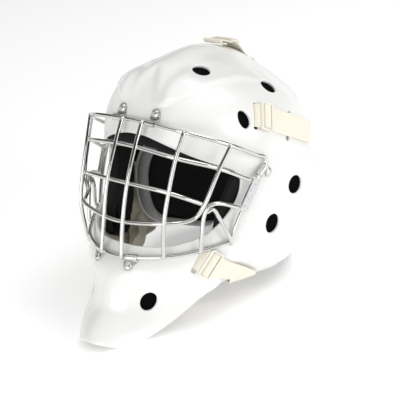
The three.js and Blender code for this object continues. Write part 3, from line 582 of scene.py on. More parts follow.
@dataclass(frozen=True)
class Frame:
    """A place with its own axes: x and y along the surface, z outwards."""

    origin: Array
    axes: Array

    @classmethod
    def at(cls, point: Array, normal: Array, direction: Array) -> "Frame":
        """The frame of a place whose x axis follows a direction along the surface."""
        x = unit(direction - normal * direction.dot(normal))
        return cls(point, np.array([x, np.cross(normal, x), normal]))

    def local(self, points: Array) -> Array:
        """Points in the frame's own coordinates."""
        return (points - self.origin) @ self.axes.T

    def out(self, points: Array) -> Array:
        """Points of the frame's own coordinates, in the mask's."""
        return self.origin + np.asarray(points, float) @ self.axes


@dataclass(frozen=True)
class Vent:
    """An oval hole, given by its place on the left, its size and its lean."""

    place: Place
    width: float
    height: float
    lean: float

    def outside(self, points: Array) -> Array:
        """Distance of points of the left from the hole.

        Args:
            points: Points, one a row.

        Returns:
            The distances, positive outside.
        """
        own = Frame.at(*self.place, vec(0, math.cos(self.lean), math.sin(self.lean)))
        u, v, w = own.local(points).T
        a, b = self.width / 2, self.height / 2
        size = np.maximum(np.hypot(u / a, v / b), 1e-3)
        grade = np.maximum(np.hypot(u / a**2, v / b**2), 1e-4)
        return np.where(np.abs(w) < HOLE_REACH, size * (size - 1) / grade, FAR)


@dataclass(frozen=True)
class Slot:
    """A slot with rounded ends in a frame: its length along x and its width along y."""

    place: Frame
    length: float
    width: float

    def outside(self, points: Array) -> Array:
        """Distance of points from the slot.

        Args:
            points: Points, one a row.

        Returns:
            The distances, positive outside.
        """
        radius = min(SLOT_CORNER, self.width / 2)
        u, v, w = self.place.local(points).T
        beyond = np.abs(u) - self.length / 2 + radius, np.abs(v) - self.width / 2 + radius
        corner = np.hypot(np.maximum(beyond[0], 0), np.maximum(beyond[1], 0))
        distance = corner + np.minimum(np.maximum(*beyond), 0) - radius
        return np.where(np.abs(w) < HOLE_REACH, distance, FAR)


@dataclass(frozen=True)
class Net:
    """Triangles over a skin.

    Attributes:
        s: Row positions of the points.
        angle: Their angles.
        distance: Their distances inside the edge.
        triangles: The three points of each triangle.
    """

    s: Array
    angle: Array
    distance: Array
    triangles: Array


@dataclass
class Panel:
    """A wall cut out of a skin, with two faces and a rounded rim all round each edge.

    Attributes:
        skin: The skin that it follows.
        keep: Gives, for points and normals, the distance inside the panel's outline.
        outer: Lift of the outer face.
        inner: Lift of the inner face.
        rim: How far the rounded rim stands out from the edge of the two faces.
        pitch: Greatest distance between two rows of points.
        columns: How many points go round the skin.
        puff: How much thinner a stuffed panel is at its edge.
        groove: Extra depth of the outer face at points, if any.
        rim_steps: How many facets round the rim off.
        snap: A point closer to the edge than this share of a side is moved onto it.
        fade: Reach of the thinning, from the edge inwards.
    """

    skin: Skin
    keep: Callable[[Array, Array], Array]
    outer: float
    inner: float
    rim: float
    pitch: float
    columns: int
    puff: float = 0.0
    groove: Callable[[Array], Array] | None = None
    rim_steps: int = 6
    snap: float = 0.2
    fade: float = 9.0

    def form(self) -> Form:
        """Cuts the wall out of the skin and rounds its edges."""
        return self.wall(self.cut(self.snapped(self.grid())))

    def grid(self) -> Net:
        """A net over the whole skin.

        Returns:
            The net.
        """
        rows = self.skin.rows_every(self.pitch)[:-1]
        around = np.arange(self.columns) * 2 * math.pi / self.columns
        s = np.append(np.repeat(rows, self.columns), self.skin.top)
        angle = np.append(np.tile(around, len(rows)), 0)
        i, j = np.meshgrid(np.arange(len(rows) - 1), np.arange(self.columns), indexing="ij")
        low = (i * self.columns + j).ravel()
        side = (i * self.columns + (j + 1) % self.columns).ravel()
        up, cross = low + self.columns, side + self.columns
        flip = (2 * j.ravel() >= self.columns)[:, None]
        one = np.where(flip, np.column_stack([low, side, up]), np.column_stack([low, side, cross]))
        two = np.where(flip, np.column_stack([side, cross, up]), np.column_stack([low, cross, up]))
        last = (len(rows) - 1) * self.columns
        ring = last + np.arange(self.columns)
        cap = np.column_stack([ring, np.roll(ring, -1), np.full(self.columns, len(s) - 1)])
        return Net(s, angle, self.measure(s, angle), np.vstack([one, two, cap]))

    def measure(self, s: Array, angle: Array) -> Array:
        """Distance of places of the skin from the edge of the two faces, positive inside."""
        points, normals = self.skin.place(s, angle, (self.outer + self.inner) / 2)
        return self.keep(points, normals) - self.rim

    def snapped(self, net: Net) -> Net:
        """Moves the points that lie close to the edge onto it, so that no sliver is cut.

        Args:
            net: The net.

        Returns:
            The net with those points moved.
        """
        s, angle, distance = net.s.copy(), net.angle.copy(), net.distance.copy()
        edges = np.vstack([net.triangles[:, pair] for pair in ([0, 1], [1, 2], [2, 0])])
        crossing = distance[edges[:, 0]] * distance[edges[:, 1]] < 0
        best: dict[int, tuple[float, int]] = {}
        for a, b in edges[crossing]:
            share = distance[a] / (distance[a] - distance[b])
            for here, there, part in ((a, b, share), (b, a, 1 - share)):
                if part < self.snap and part < best.get(here, (1, 0))[0]:
                    best[here] = (part, there)
        best.pop(len(s) - 1, None)
        for here, (part, there) in best.items():
            s[here] += part * (net.s[there] - net.s[here])
            angle[here] = self.toward(net.angle[here], net.angle[there], part)
            distance[here] = 0.0
        return Net(s, angle, distance, net.triangles)

    @staticmethod
    def toward(start: float, end: float, share: float) -> float:
        """An angle part of the way to another, the short way round."""
        turn = (end - start + math.pi) % (2 * math.pi) - math.pi
        return start + share * turn

    def cut(self, net: Net) -> Net:
        """Keeps the part of each triangle that lies inside the edge.

        Args:
            net: The net.

        Returns:
            What is left of it.
        """
        s, angle, distance = net.s, net.angle, net.distance
        signs = distance[net.triangles]
        whole = (signs >= 0).all(1) & (signs > 0).any(1)
        kept = [tuple(face) for face in net.triangles[whole]]
        new_s, new_angle, known = list(s), list(angle), {}

        def meeting(a: int, b: int) -> int:
            """The new point where a side crosses the edge.

            Args:
                a: One end of the side.
                b: The other end.

            Returns:
                The new point's number.
            """
            key = (min(a, b), max(a, b))
            if key not in known:
                share = distance[key[0]] / (distance[key[0]] - distance[key[1]])
                start = angle[key[1]] if key[0] == len(s) - 1 else angle[key[0]]
                end = angle[key[0]] if key[1] == len(s) - 1 else angle[key[1]]
                known[key] = len(new_s)
                new_s.append(s[key[0]] + share * (s[key[1]] - s[key[0]]))
                new_angle.append(self.toward(start, end, share))
            return known[key]

        for face in net.triangles[~whole & (signs > 0).any(1)]:
            ring = []
            for a, b in zip(face, np.roll(face, -1)):
                if distance[a] >= 0:
                    ring.append(int(a))
                if distance[a] * distance[b] < 0:
                    ring.append(meeting(int(a), int(b)))
            kept.extend((ring[0], ring[k], ring[k + 1]) for k in range(1, len(ring) - 1))
        faces = np.array(kept)
        all_distances = np.append(distance, np.zeros(len(new_s) - len(s)))
        used, faces = np.unique(faces, return_inverse=True)
        new_s, new_angle = np.array(new_s)[used], np.array(new_angle)[used]
        return Net(new_s, new_angle, all_distances[used], faces.reshape(-1, 3))

    @staticmethod
    def evened(away: Array, loop: list[int], edge: dict[int, int], before: dict[int, int]) -> Array:
        """The directions of the rim, evened out along each edge.

        Args:
            away: A direction for each point of the loop.
            loop: The points along the edges.
            edge: The next point after each.
            before: The point before each.

        Returns:
            The evened directions.
        """
        at = {a: i for i, a in enumerate(loop)}
        ahead = np.array([at.get(edge[a], i) for i, a in enumerate(loop)])
        back = np.array([at.get(before[a], i) for i, a in enumerate(loop)])
        for _ in range(4):
            away = unit(away * 2 + away[ahead] + away[back])
        return away

    def wall(self, net: Net) -> Form:
        """The two faces, and the rim between them.

        Args:
            net: The net that both faces follow.

        Returns:
            The wall, with finish 0 outside and on the rim, and 1 inside.
        """
        base, normal = self.skin.place(net.s, net.angle, 0)
        triangles, count = net.triangles, len(net.s)
        outer = self.outer - (self.groove(base) if self.groove else np.zeros(count))
        inner = self.inner + self.puff * np.exp(-np.maximum(net.distance, 0) / self.fade)
        layers = [base + normal * outer[:, None], base + normal * inner[:, None]]
        faces = [tuple(f) for f in triangles] + [(c + count, b + count, a + count) for a, b, c in triangles]
        finish = [0] * len(triangles) + [1] * len(triangles)
        halves = {(a, b) for a, b, c in triangles for a, b in ((a, b), (b, c), (c, a))}
        edge = {a: b for a, b in halves if (b, a) not in halves}
        before = {b: a for a, b in edge.items()}
        loop = [a for a in edge if a in before]
        rings, total = {}, 2 * count
        middle, half = (outer + inner) / 2, (outer - inner) / 2
        tangents = unit(np.array([base[edge[a]] - base[before[a]] for a in loop]))
        away = self.evened(np.cross(tangents, normal[loop]), loop, edge, before)
        extra = []
        for k in range(1, self.rim_steps):
            turn = math.pi * k / self.rim_steps
            lift = middle[loop] + half[loop] * math.cos(turn)
            extra.append(base[loop] + normal[loop] * lift[:, None] + away * self.rim * math.sin(turn))
            rings[k] = {a: total + i for i, a in enumerate(loop)}
            total += len(loop)
        rings[0] = {a: a for a in loop}
        rings[self.rim_steps] = {a: a + count for a in loop}
        for a in loop:
            b = edge[a]
            if b not in rings[0]:
                continue
            for k in range(self.rim_steps):
                faces.append((rings[k][b], rings[k][a], rings[k + 1][a], rings[k + 1][b]))
                finish.append(0)
        return Form(np.vstack(layers + extra), faces, None, finish)


def sleeve(rings: int, sides: int) -> list[Face]:
    """The sides between rings of points, and last the faces that close both ends.

    Args:
        rings: How many rings.
        sides: How many points a ring has.

    Returns:
        The faces.
    """
    faces = []
    for i in range(rings - 1):
        for j in range(sides):
            a, b = i * sides + j, i * sides + (j + 1) % sides
            faces.append((a, b, b + sides, a + sides))
    last = (rings - 1) * sides
    return faces + [tuple(range(sides))[::-1], tuple(last + j for j in range(sides))]


def circle(sides: int) -> Array:
    """Even angles round a circle."""
    return np.arange(sides) * 2 * math.pi / sides


# The domed end of a wire: how far out a ring lies and how wide it is, both as shares of the radius.
DOME = ((0.95, 0.3), (0.7, 0.72))


def tube(points: Array, radius: float, sides: int = 14) -> Form:
    """A round wire with domed ends along a run of close points.

    Args:
        points: The run, one point a row.
        radius: Radius of the wire.
        sides: How many sides it has.

    Returns:
        The wire.
    """
    tangents = unit(np.gradient(points, axis=0))
    across = unit(np.cross(tangents[0], (0.31, 0.23, 0.92)))
    rings, turns = [], circle(sides)
    stations = [(points[0] - tangents[0] * radius * out, tangents[0], share) for out, share in DOME]
    stations += [(point, tangent, 1.0) for point, tangent in zip(points, tangents)]
    stations += [(points[-1] + tangents[-1] * radius * out, tangents[-1], share) for out, share in DOME[::-1]]
    for point, tangent, share in stations:
        across = unit(across - tangent * across.dot(tangent))
        up = np.cross(tangent, across)
        ring = np.cos(turns)[:, None] * across + np.sin(turns)[:, None] * up
        rings.append(point + ring * radius * share)
    return Form(np.vstack(rings), sleeve(len(rings), sides))


def bead(centre: Array, radius: float, across: int = 12) -> Form:
    """A small round weld bead.

    Args:
        centre: Its middle.
        radius: Its radius.
        across: How many sides it has.

    Returns:
        The bead.
    """
    rings = [centre + (0, 0, -radius)]
    for i in range(1, across // 2):
        tilt, turns = math.pi * i / (across // 2), circle(across)
        flat = radius * math.sin(tilt)
        height = np.full(across, -radius * math.cos(tilt))
        rings.append(centre + np.column_stack([flat * np.cos(turns), flat * np.sin(turns), height]))
    rings.append(centre + (0, 0, radius))
    points = np.vstack(rings)
    top, faces = len(points) - 1, []
    for j in range(across):
        k = (j + 1) % across
        faces += [(0, 1 + k, 1 + j), (top, top - across + j, top - across + k)]
        for i in range(across // 2 - 2):
            a = 1 + i * across
            faces.append((a + j, a + k, a + across + k, a + across + j))
    return Form(points, faces)


def prism(outline: Array, low: float, high: float, chamfer: float) -> Form:
    """A flat plate on an outline that runs anticlockwise, with its edges broken by a chamfer.

    Args:
        outline: Corners of the outline.
        low: Height of its underside.
        high: Height of its top.
        chamfer: Width of the broken edges.

    Returns:
        The plate.
    """
    before, after = np.roll(outline, 1, axis=0), np.roll(outline, -1, axis=0)
    come, go = unit(outline - before), unit(after - outline)
    bend = np.maximum(1 + (come * go).sum(1), 0.3)[:, None]
    inwards = np.column_stack([-(come + go)[:, 1], (come + go)[:, 0]]) / bend
    rings = [
        np.column_stack([outline + inwards * inset, np.full(len(outline), z)])
        for inset, z in ((chamfer, low), (0, low + chamfer), (0, high - chamfer), (chamfer, high))
    ]
    return Form(np.vstack(rings), sleeve(len(rings), len(outline)))


def rounded_rectangle(width: float, length: float, radius: float) -> Array:
    """The anticlockwise outline of a rectangle with rounded corners.

    Args:
        width: Its width.
        length: Its length.
        radius: Radius of the corners.

    Returns:
        The outline's corners.
    """
    corners = []
    for quarter, (sx, sy) in enumerate(((1, 1), (-1, 1), (-1, -1), (1, -1))):
        centre = (sx * (width / 2 - radius), sy * (length / 2 - radius))
        for step in range(6):
            turn = math.pi / 2 * (quarter + step / 5)
            corners.append((centre[0] + radius * math.cos(turn), centre[1] + radius * math.sin(turn)))
    return np.array(corners)


LANES = 10  # strips across a band


def ribbon(rows: Array, thickness: float, steps: int = 5) -> Form:
    """A flat band with rounded selvedges through rows of points that run across it.

    Args:
        rows: Rows of two or three points, as an array of rows, points and coordinates.
        thickness: Thickness of the band, centred on the rows.
        steps: How many pieces each length between two rows is divided into.

    Returns:
        The closed band, with texture coordinates in millimetres along and across it.
    """
    if rows.shape[1] == 2:
        rows = np.stack([rows[:, 0], rows.mean(1), rows[:, 1]], 1)
    fine = spline(rows, steps)
    t = np.linspace(0, 1, LANES + 1)[:, None]
    first, middle, last = (fine[:, k][:, None, :] for k in range(3))
    lane = first * (2 * t - 1) * (t - 1) + middle * 4 * t * (1 - t) + last * t * (2 * t - 1)
    over = np.gradient(lane, axis=1)
    normal = unit(np.cross(np.gradient(lane, axis=0), over))
    run = np.concatenate([[0], np.cumsum(np.linalg.norm(np.diff(fine[:, 1], axis=0), axis=1))])
    width = np.linalg.norm(rows[0, 0] - rows[0, 2])
    half = thickness / 2
    edge = unit(over)
    lane[:, 0] += edge[:, 0] * half
    lane[:, -1] -= edge[:, -1] * half

    def selvedge(j: int, way: int) -> list[tuple[Array, float]]:
        """The rounded edge at lane j, which bulges one way or the other.

        Args:
            j: The lane.
            way: 1 or -1.

        Returns:
            Points along it and their shares of the width, for each turn.
        """
        bulge = []
        for turn in (60 * way, 0, -60 * way):
            c, s = math.cos(math.radians(turn)) * way, math.sin(math.radians(turn))
            bulge.append((lane[:, j] + (edge[:, j] * c + normal[:, j] * s) * half, j / LANES))
        return bulge

    ring = [(lane[:, j] + normal[:, j] * half, j / LANES) for j in range(LANES + 1)] + selvedge(LANES, 1)
    ring += [(lane[:, j] - normal[:, j] * half, j / LANES) for j in range(LANES, -1, -1)] + selvedge(0, -1)
    points = np.stack([place for place, _ in ring], 1).reshape(-1, 3)
    uv = np.array([[at, share * width] for at in run for _, share in ring])
    faces = sleeve(len(fine), len(ring))
    faces = [face[:1] + face[:0:-1] for face in faces[:-2]] + [face[::-1] for face in faces[-2:]]
    return Form(points, faces, uv)


# ---- Finishes ----------------------------------------------------------------


def linear(hex_colour: str) -> tuple[float, float, float, float]:
    """An sRGB colour written as #rrggbb, in linear light."""
    parts = [int(hex_colour[i : i + 2], 16) / 255 for i in (1, 3, 5)]
    return (*(p / 12.92 if p <= 0.04045 else ((p + 0.055) / 1.055) ** 2.4 for p in parts), 1.0)


def add_node(tree: Tree, kind: str, inputs: dict | None = None, **settings: object) -> Node:
    """Adds a node.

    Args:
        tree: The tree that it goes into.
        kind: Its type.
        inputs: A value or an output of another node, by name or number of input.
        settings: Its own properties.

    Returns:
        The node.
    """
    node = tree.nodes.new(kind)
    for name, value in settings.items():
        setattr(node, name, value)
    for name, value in (inputs or {}).items():
        if isinstance(value, Socket):
            tree.links.new(value, node.inputs[name])
        else:
            node.inputs[name].default_value = value
    return node


def bands(spacing: float) -> float:
    """Scale of a wave pattern whose bands are a spacing in millimetres apart."""
    return 2 * math.pi / (20 * spacing * MM)


@dataclass(frozen=True)
class Finish:
    """A surface finish: its name, colour and gloss. Kinds of finish add their own texture."""

    name: str
    colour: str
    roughness: float
    metallic: float = 0.0
    coat: float = 0.0
    coat_roughness: float = 0.06
    specular: float = 0.5

    def material(self) -> bpy.types.Material:
        """The material, made the first time that it is asked for.

        Returns:
            The material.
        """
        known = bpy.data.materials.get(self.name)
        if known:
            return known
        made = bpy.data.materials.new(self.name)
        made.use_nodes = True
        tree = made.node_tree
        tree.nodes.clear()
        values = {
            "Base Color": linear(self.colour),
            "Roughness": self.roughness,
            "Metallic": self.metallic,
            "Coat Weight": self.coat,
            "Coat Roughness": self.coat_roughness,
            "Specular IOR Level": self.specular,
        }
        shader = add_node(tree, "ShaderNodeBsdfPrincipled", values)
        add_node(tree, "ShaderNodeOutputMaterial", {"Surface": shader.outputs[0]})
        self.texture(tree, shader)
        return made

    def texture(self, tree: Tree, shader: Node) -> None:
        """Adds the grain that sets this finish apart."""

    def pattern(self, tree: Tree, kind: str, size: float, **more: float) -> Node:
        """A pattern fixed to the piece, whose features are a size in millimetres across."""
        place = add_node(tree, "ShaderNodeTexCoord").outputs["Object"]
        return add_node(tree, "ShaderNodeTex" + kind, {"Vector": place, "Scale": 1 / (size * MM), **more})

    def bumped(self, tree: Tree, shader: Node, height: object, depth: float) -> None:
        """Raises the surface by a depth in millimetres where a pattern is 1."""
        bump = add_node(tree, "ShaderNodeBump", {"Height": height, "Strength": 1.0, "Distance": depth * MM})
        tree.links.new(bump.outputs[0], shader.inputs["Normal"])

    def tinted(self, tree: Tree, shader: Node, share: object, other: str) -> None:
        """Turns the colour towards another where a pattern is 1.

        Args:
            tree: The material's tree.
            shader: Its shader.
            share: The pattern.
            other: The other colour.
        """
        inputs = {"Factor": share, "A": linear(self.colour), "B": linear(other)}
        mix = add_node(tree, "ShaderNodeMix", inputs, data_type="RGBA")
        tree.links.new(mix.outputs["Result"], shader.inputs["Base Color"])


@dataclass(frozen=True)
class LacqueredShell(Finish):
    """White lacquer over moulded laminate: a faint orange peel under a clear gloss keeps highlights soft."""

    peel: float = 2.381
    height: float = 0.012

    def texture(self, tree: Tree, shader: Node) -> None:
        """Adds the orange peel."""
        peel = self.pattern(tree, "Noise", self.peel, Detail=2.0)
        self.bumped(tree, shader, peel.outputs[0], self.height)


@dataclass(frozen=True)
class BareLaminate(Finish):
    """The unpainted inner face of the laminate: pale resin with the glass cloth's weave showing through."""

    weave: float = 3.03
    height: float = 0.08
    thread: str = "#c4c1b4"

    def texture(self, tree: Tree, shader: Node) -> None:
        """Adds the weave, drawn as a check.

        Args:
            tree: The material's tree.
            shader: Its shader.
        """
        weave = self.pattern(tree, "Checker", self.weave)
        self.tinted(tree, shader, weave.outputs[1], self.thread)
        self.bumped(tree, shader, weave.outputs[1], self.height)


@dataclass(frozen=True)
class PolishedSteel(Finish):
    """Polished or plated steel: bright, with a slight waviness in its reflections."""

    wave: float = 6.25
    height: float = 0.006

    def texture(self, tree: Tree, shader: Node) -> None:
        """Adds the waviness, and a gloss that changes with it.

        Args:
            tree: The material's tree.
            shader: Its shader.
        """
        wave = self.pattern(tree, "Noise", self.wave, Detail=1.0)
        spread = {"Value": wave.outputs[0], "To Min": self.roughness * 0.7, "To Max": self.roughness * 1.6}
        gloss = add_node(tree, "ShaderNodeMapRange", spread)
        tree.links.new(gloss.outputs[0], shader.inputs["Roughness"])
        self.bumped(tree, shader, wave.outputs[0], self.height)


@dataclass(frozen=True)
class SpeckledLabel(Finish):
    """A laminated paper label with nothing printed on it: grey specks under a satin film."""

    speck: float = 1.613
    grey: str = "#7d8084"

    def texture(self, tree: Tree, shader: Node) -> None:
        """Adds the specks.

        Args:
            tree: The material's tree.
            shader: Its shader.
        """
        grain = self.pattern(tree, "Voronoi", self.speck)
        spread = {0: grain.outputs[0], "From Min": 0.22, "From Max": 0.36, "To Min": 0.75, "To Max": 0.0}
        dots = add_node(tree, "ShaderNodeMapRange", spread)
        self.tinted(tree, shader, dots.outputs[0], self.grey)


@dataclass(frozen=True)
class MouldedPlastic(Finish):
    """Injection-moulded nylon: a spark-eroded mould leaves a fine, even grain that dulls the gloss."""

    grain: float = 0.625  # coarser than real, so that it shows
    height: float = 0.04

    def texture(self, tree: Tree, shader: Node) -> None:
        """Adds the grain."""
        grain = self.pattern(tree, "Noise", self.grain)
        self.bumped(tree, shader, grain.outputs[0], self.height)


@dataclass(frozen=True)
class WovenElastic(Finish):
    """Woven elastic: ribs run along it over the rubber cores, and the weft crosses them.

    Both are drawn about twice as coarse as in real webbing, because finer ones would not show.
    """

    rib: float = 2.992
    weft: float = 1.571
    height: float = 0.07
    crest: str = "#f8f4e8"

    def texture(self, tree: Tree, shader: Node) -> None:
        """Adds the ribs and the weft.

        Args:
            tree: The material's tree.
            shader: Its shader.
        """
        place = add_node(tree, "ShaderNodeUVMap", uv_map="cloth").outputs[0]
        waves = []
        for axis, spacing, wander, detail in (("Y", self.rib, 0.3, 40.0), ("X", self.weft, 0.6, 60.0)):
            wave = {"Vector": place, "Scale": bands(spacing), "Distortion": wander, "Detail Scale": detail}
            waves.append(add_node(tree, "ShaderNodeTexWave", wave, bands_direction=axis).outputs[1])
        both = add_node(tree, "ShaderNodeMath", dict(enumerate(waves)), operation="MULTIPLY")
        self.tinted(tree, shader, both.outputs[0], self.crest)
        self.bumped(tree, shader, both.outputs[0], self.height)


@dataclass(frozen=True)
class CellFoam(Finish):
    """Skinned black foam: fine closed cells under a slightly uneven tone."""

    bloom: str = "#1c1d20"
    cell: float = 1.111  # coarser than real, so that it shows
    cloud: float = 16.67
    height: float = 0.12

    def texture(self, tree: Tree, shader: Node) -> None:
        """Adds the cells and the uneven tone.

        Args:
            tree: The material's tree.
            shader: Its shader.
        """
        tone = self.pattern(tree, "Noise", self.cloud, Detail=3.0)
        self.tinted(tree, shader, tone.outputs[0], self.bloom)
        self.bumped(tree, shader, self.pattern(tree, "Voronoi", self.cell).outputs[0], self.height)


@dataclass(frozen=True)
class PaintedVentShade(CellFoam):
    """Painted shade: a black sheet glued only behind the vents stands in for the shade inside the shell seen
    through them; it swallows light, and its stitches read as fine dots.
    """

    bloom: str = "#0a0a0b"


@dataclass(frozen=True)
class BrushedFelt(Finish):
    """Brushed grey binding: a soft nap that breaks up the light."""

    nap: float = 0.7143
    height: float = 0.2
    tip: str = "#c3c3c5"

    def texture(self, tree: Tree, shader: Node) -> None:
        """Adds the nap.

        Args:
            tree: The material's tree.
            shader: Its shader.
        """
        nap = self.pattern(tree, "Noise", self.nap, Detail=4.0)
        self.tinted(tree, shader, nap.outputs[0], self.tip)
        self.bumped(tree, shader, nap.outputs[0], self.height)


class Look(Enum):
    """The finishes of the mask, each named for its material and how it was made, and the painted shade behind
    the vents.
    """

    SHELL = LacqueredShell("white lacquered laminate", "#f1f1ef", 0.27, coat=0.35)
    INSIDE = BareLaminate("bare glass laminate", "#d3d0c4", 0.5)
    STEEL = PolishedSteel("electropolished steel wire", "#d8d7d4", 0.09, metallic=1.0)
    PLATED = PolishedSteel("zinc-plated pressed steel", "#d6d6d2", 0.24, metallic=1.0)
    LABEL = SpeckledLabel("speckled paper label", "#d4d5d6", 0.42)
    SLIDE = MouldedPlastic("cream moulded nylon", "#f1ede0", 0.4)
    WEBBING = WovenElastic("cream woven elastic", "#efe9d8", 0.85)
    FOAM = CellFoam("black skinned foam", "#101113", 0.8, specular=0.3)
    # Painted shade: a black sheet that stands in for the dark inside of the shell behind the vents.
    VENT_SHADE = PaintedVentShade("matt black painted vent shade", "#050506", 0.95, specular=0.08)
    BORDER = BrushedFelt("grey brushed binding", "#97979a", 0.92)


def dress(piece: Piece, slot: str, *looks: Look) -> Piece:
    """Gives a piece its finishes.

    Args:
        piece: The piece.
        slot: A material slot's name; not used.
        looks: Finishes in the order of the faces' finish numbers; the last one serves for all that follow.

    Returns:
        The piece.
    """
    faces = piece.data.polygons
    part = np.zeros(len(faces), int)
    faces.foreach_get("material_index", part)
    piece.data.materials.clear()
    for look in looks:
        piece.data.materials.append(look.value.material())
    faces.foreach_set("material_index", np.minimum(part, len(looks) - 1))
    LOG.info("%s: %d faces", piece.name, len(faces))
    return piece


# ---- Shell -------------------------------------------------------------------


def rest_height(y: float) -> float:
    """Height of the resting plane at y."""
    return REST_HEIGHT + REST_SLOPE * y


SHELL_EDGE = [
    (70, 136), (68, 124), (61, 112), (52, 102), (46, 88), (43, 70), (45, 60), (53, 49), (57, 38), (57, 15),
    (53, -8), (46, -29), (33, -47), (20, -55.5), (6, -57.2), (-24, -56.7), (-45, -57.5), (-52, -56.6),
    (-60, -57.4), (-78, -69), (-97, -83), (-112, -93), (-127, rest_height(-127)), (-136, rest_height(-136)),
    (-145, rest_height(-145)), (-156, -103.5), (-166, -100.5),
]
FACE_HALF = [
    (0, 87), (12, 86.5), (28, 82.5), (44, 76.5), (60, 69), (74, 61.5), (81.5, 56), (84.5, 50), (85, 41),
    (83.5, 30), (79.5, 17), (74.5, 5.5), (68, -3), (58, -8.5), (44, -12.5), (24, -14), (0, -14),
]
OPENING_BACK = -22.0
EDGE_STEPS = 5


@dataclass(frozen=True)
class StrapLine:
    """The line of a side strap: the front edge of its slide, and its two directions in the side view."""

    start: tuple[float, float]
    along: tuple[float, float]
    across: tuple[float, float]

    def place(self, along: float, across: float, lift: float = 0.0) -> Place:
        """The place of the shell at a distance along and across the strap."""
        y, z = np.array(self.start) + np.multiply(self.along, along) + np.multiply(self.across, across)
        return SHELL_SKIN.on_side(y, z, lift)

    def frame_at(self, along: float) -> Frame:
        """The frame of a place on the strap's line, with x across the strap."""
        point, normal = self.place(along, 0)
        return Frame.at(point, normal, self.place(along, 1)[0] - point)

    def rows(self, points: Sequence[tuple[float, float, float]]) -> list[Array]:
        """Rows across the webbing.

        Args:
            points: For each row, its places along the line at the back and front edge, and its lift.

        Returns:
            The rows.
        """
        rows = []
        for back, fore, lift in points:
            middle, lean = (back + fore) / 2, (back - fore) / WEBBING_WIDTH
            rows.append(np.array([self.place(middle + lean * a, a, lift)[0] for a in ACROSS]))
        return rows


ACROSS = (WEBBING_WIDTH / 2, 0.0, -WEBBING_WIDTH / 2)  # the three points of a row of webbing
UPPER = StrapLine((-16.6, 103.7), (0.93, -0.37), (0.44, 0.81))
LOWER = StrapLine((-83, -25.8), (0.86, -0.5), (0.42, 0.66))
# Places along a side strap's line, from the front edge of its slide, and sizes of the shell's slots.
SLOT_AT = -2.2
SPARE_SLOT_AT = 38.0
SLOT_SIZE = (25.8, 4.8)
SPARE_SLOT_SIZE = (29.0, 3.2)


@dataclass
class ShellPiece:
    """The moulded shell with its face opening, vents and strap slots, and a black sheet behind the vents that
    paints the shade inside them.

    Attributes:
        rim: Bulge of the rounded edges.
        pitch: Greatest distance between two rows of points.
        columns: How many points go round.
        shade_lifts: Lifts of the two faces of the painted shade sheet.
        shade_margin: How far the painted shade sheet reaches past a vent.
        shade_clear: How far the painted shade sheet stays clear of a slot.
        vents: The vents of the left.
        slots: The slots of the left.
    """

    rim: float = 1.3
    pitch: float = 2.5
    columns: int = 300
    # Lifts and reach of the black sheet of painted shade behind the vents.
    shade_lifts: tuple[float, float] = (-3.68, -4.3)
    shade_margin: float = 4.5
    shade_clear: float = 0.5

    vents: list[Vent] = field(
        default_factory=lambda: [
            Vent(SHELL_SKIN.on_crown(33.5, -38), 17, 17, 0),
            Vent(SHELL_SKIN.on_side(20.5, 124.8), 16, 16, 0),
            Vent(SHELL_SKIN.on_side(-33.5, 103), 11.5, 17.5, 0),
            Vent(SHELL_SKIN.on_side(16, 33.5), 16, 18, -0.3),
            Vent(SHELL_SKIN.on_side(-12, -0.5), 15.5, 19, -0.4),
            Vent(SHELL_SKIN.on_front(37, -64.5), 14.5, 18.5, -0.5),
        ]
    )
    slots: list[Slot] = field(
        default_factory=lambda: [
            Slot(UPPER.frame_at(SLOT_AT), *SLOT_SIZE),
            Slot(LOWER.frame_at(SLOT_AT), *SLOT_SIZE),
            Slot(UPPER.frame_at(SPARE_SLOT_AT), *SPARE_SLOT_SIZE),
        ]
    )

    def __post_init__(self) -> None:
        """Draws the outlines of the shell and of the face opening."""
        edge = spline(np.array(SHELL_EDGE), EDGE_STEPS)
        self.edge = Outline(np.vstack([[(-FAR, FAR), (70, FAR)], edge, [(-FAR, -95)]]))
        half = spline(np.array([(-12, 86.5), *FACE_HALF, (-24, -14)]), EDGE_STEPS)[EDGE_STEPS:-EDGE_STEPS]
        self.face = Outline(np.vstack([half, half[-2:0:-1] * (-1, 1)]))

    def keep(self, points: Array, normals: Array) -> Array:
        """Distance inside the shell's outline and outside its holes.

        Args:
            points: Points, one a row.
            normals: The skin's outward normals there.

        Returns:
            The distances, positive inside.
        """
        left = to_left(points)
        distance = side_view(self.edge, points, normals)
        opening = np.where(points[:, 1] < OPENING_BACK, -front_view(self.face, points, normals), FAR)
        distance = np.minimum(distance, opening)
        for hole in (*self.vents, *self.slots):
            distance = np.minimum(distance, hole.outside(left))
        return np.minimum(distance, above_rest(points, normals, SHELL_WALL))

    def vent_shade_keep(self, points: Array, normals: Array) -> Array:
        """Distance inside the black sheet behind each vent, which paints the shade inside the shell.

        Args:
            points: Points, one a row.
            normals: The skin's outward normals there.

        Returns:
            The distances, positive inside.
        """
        left = to_left(points)
        inside = np.max([self.shade_margin - vent.outside(left) for vent in self.vents], axis=0)
        return np.min([inside, *(slot.outside(left) - self.shade_clear for slot in self.slots)], axis=0)

    def build(self) -> Piece:
        """Builds the shell and lacquers its outside.

        Returns:
            The shell, with the black sheet of painted shade behind its vents.
        """
        wall = Panel(SHELL_SKIN, self.keep, 0, -SHELL_WALL, self.rim, self.pitch, self.columns).form()
        # A black sheet only behind the vents: painted shade for the dark inside of the shell.
        cloth = Panel(SHELL_SKIN, self.vent_shade_keep, *self.shade_lifts, 0.3, 3.4, 230, rim_steps=2).form()
        looks = (Look.SHELL, Look.INSIDE, Look.VENT_SHADE)
        form = wall.joined(replace(cloth, finish=[looks.index(Look.VENT_SHADE)] * len(cloth.faces)))
        return dress(form.build("Shell", "shell"), "shell_white", *looks)


# ---- Cage --------------------------------------------------------------------

LEVELS = ("brow", "eye", "nose", "mouth", "chin")
PLACES = ("inner", "outer", "side")
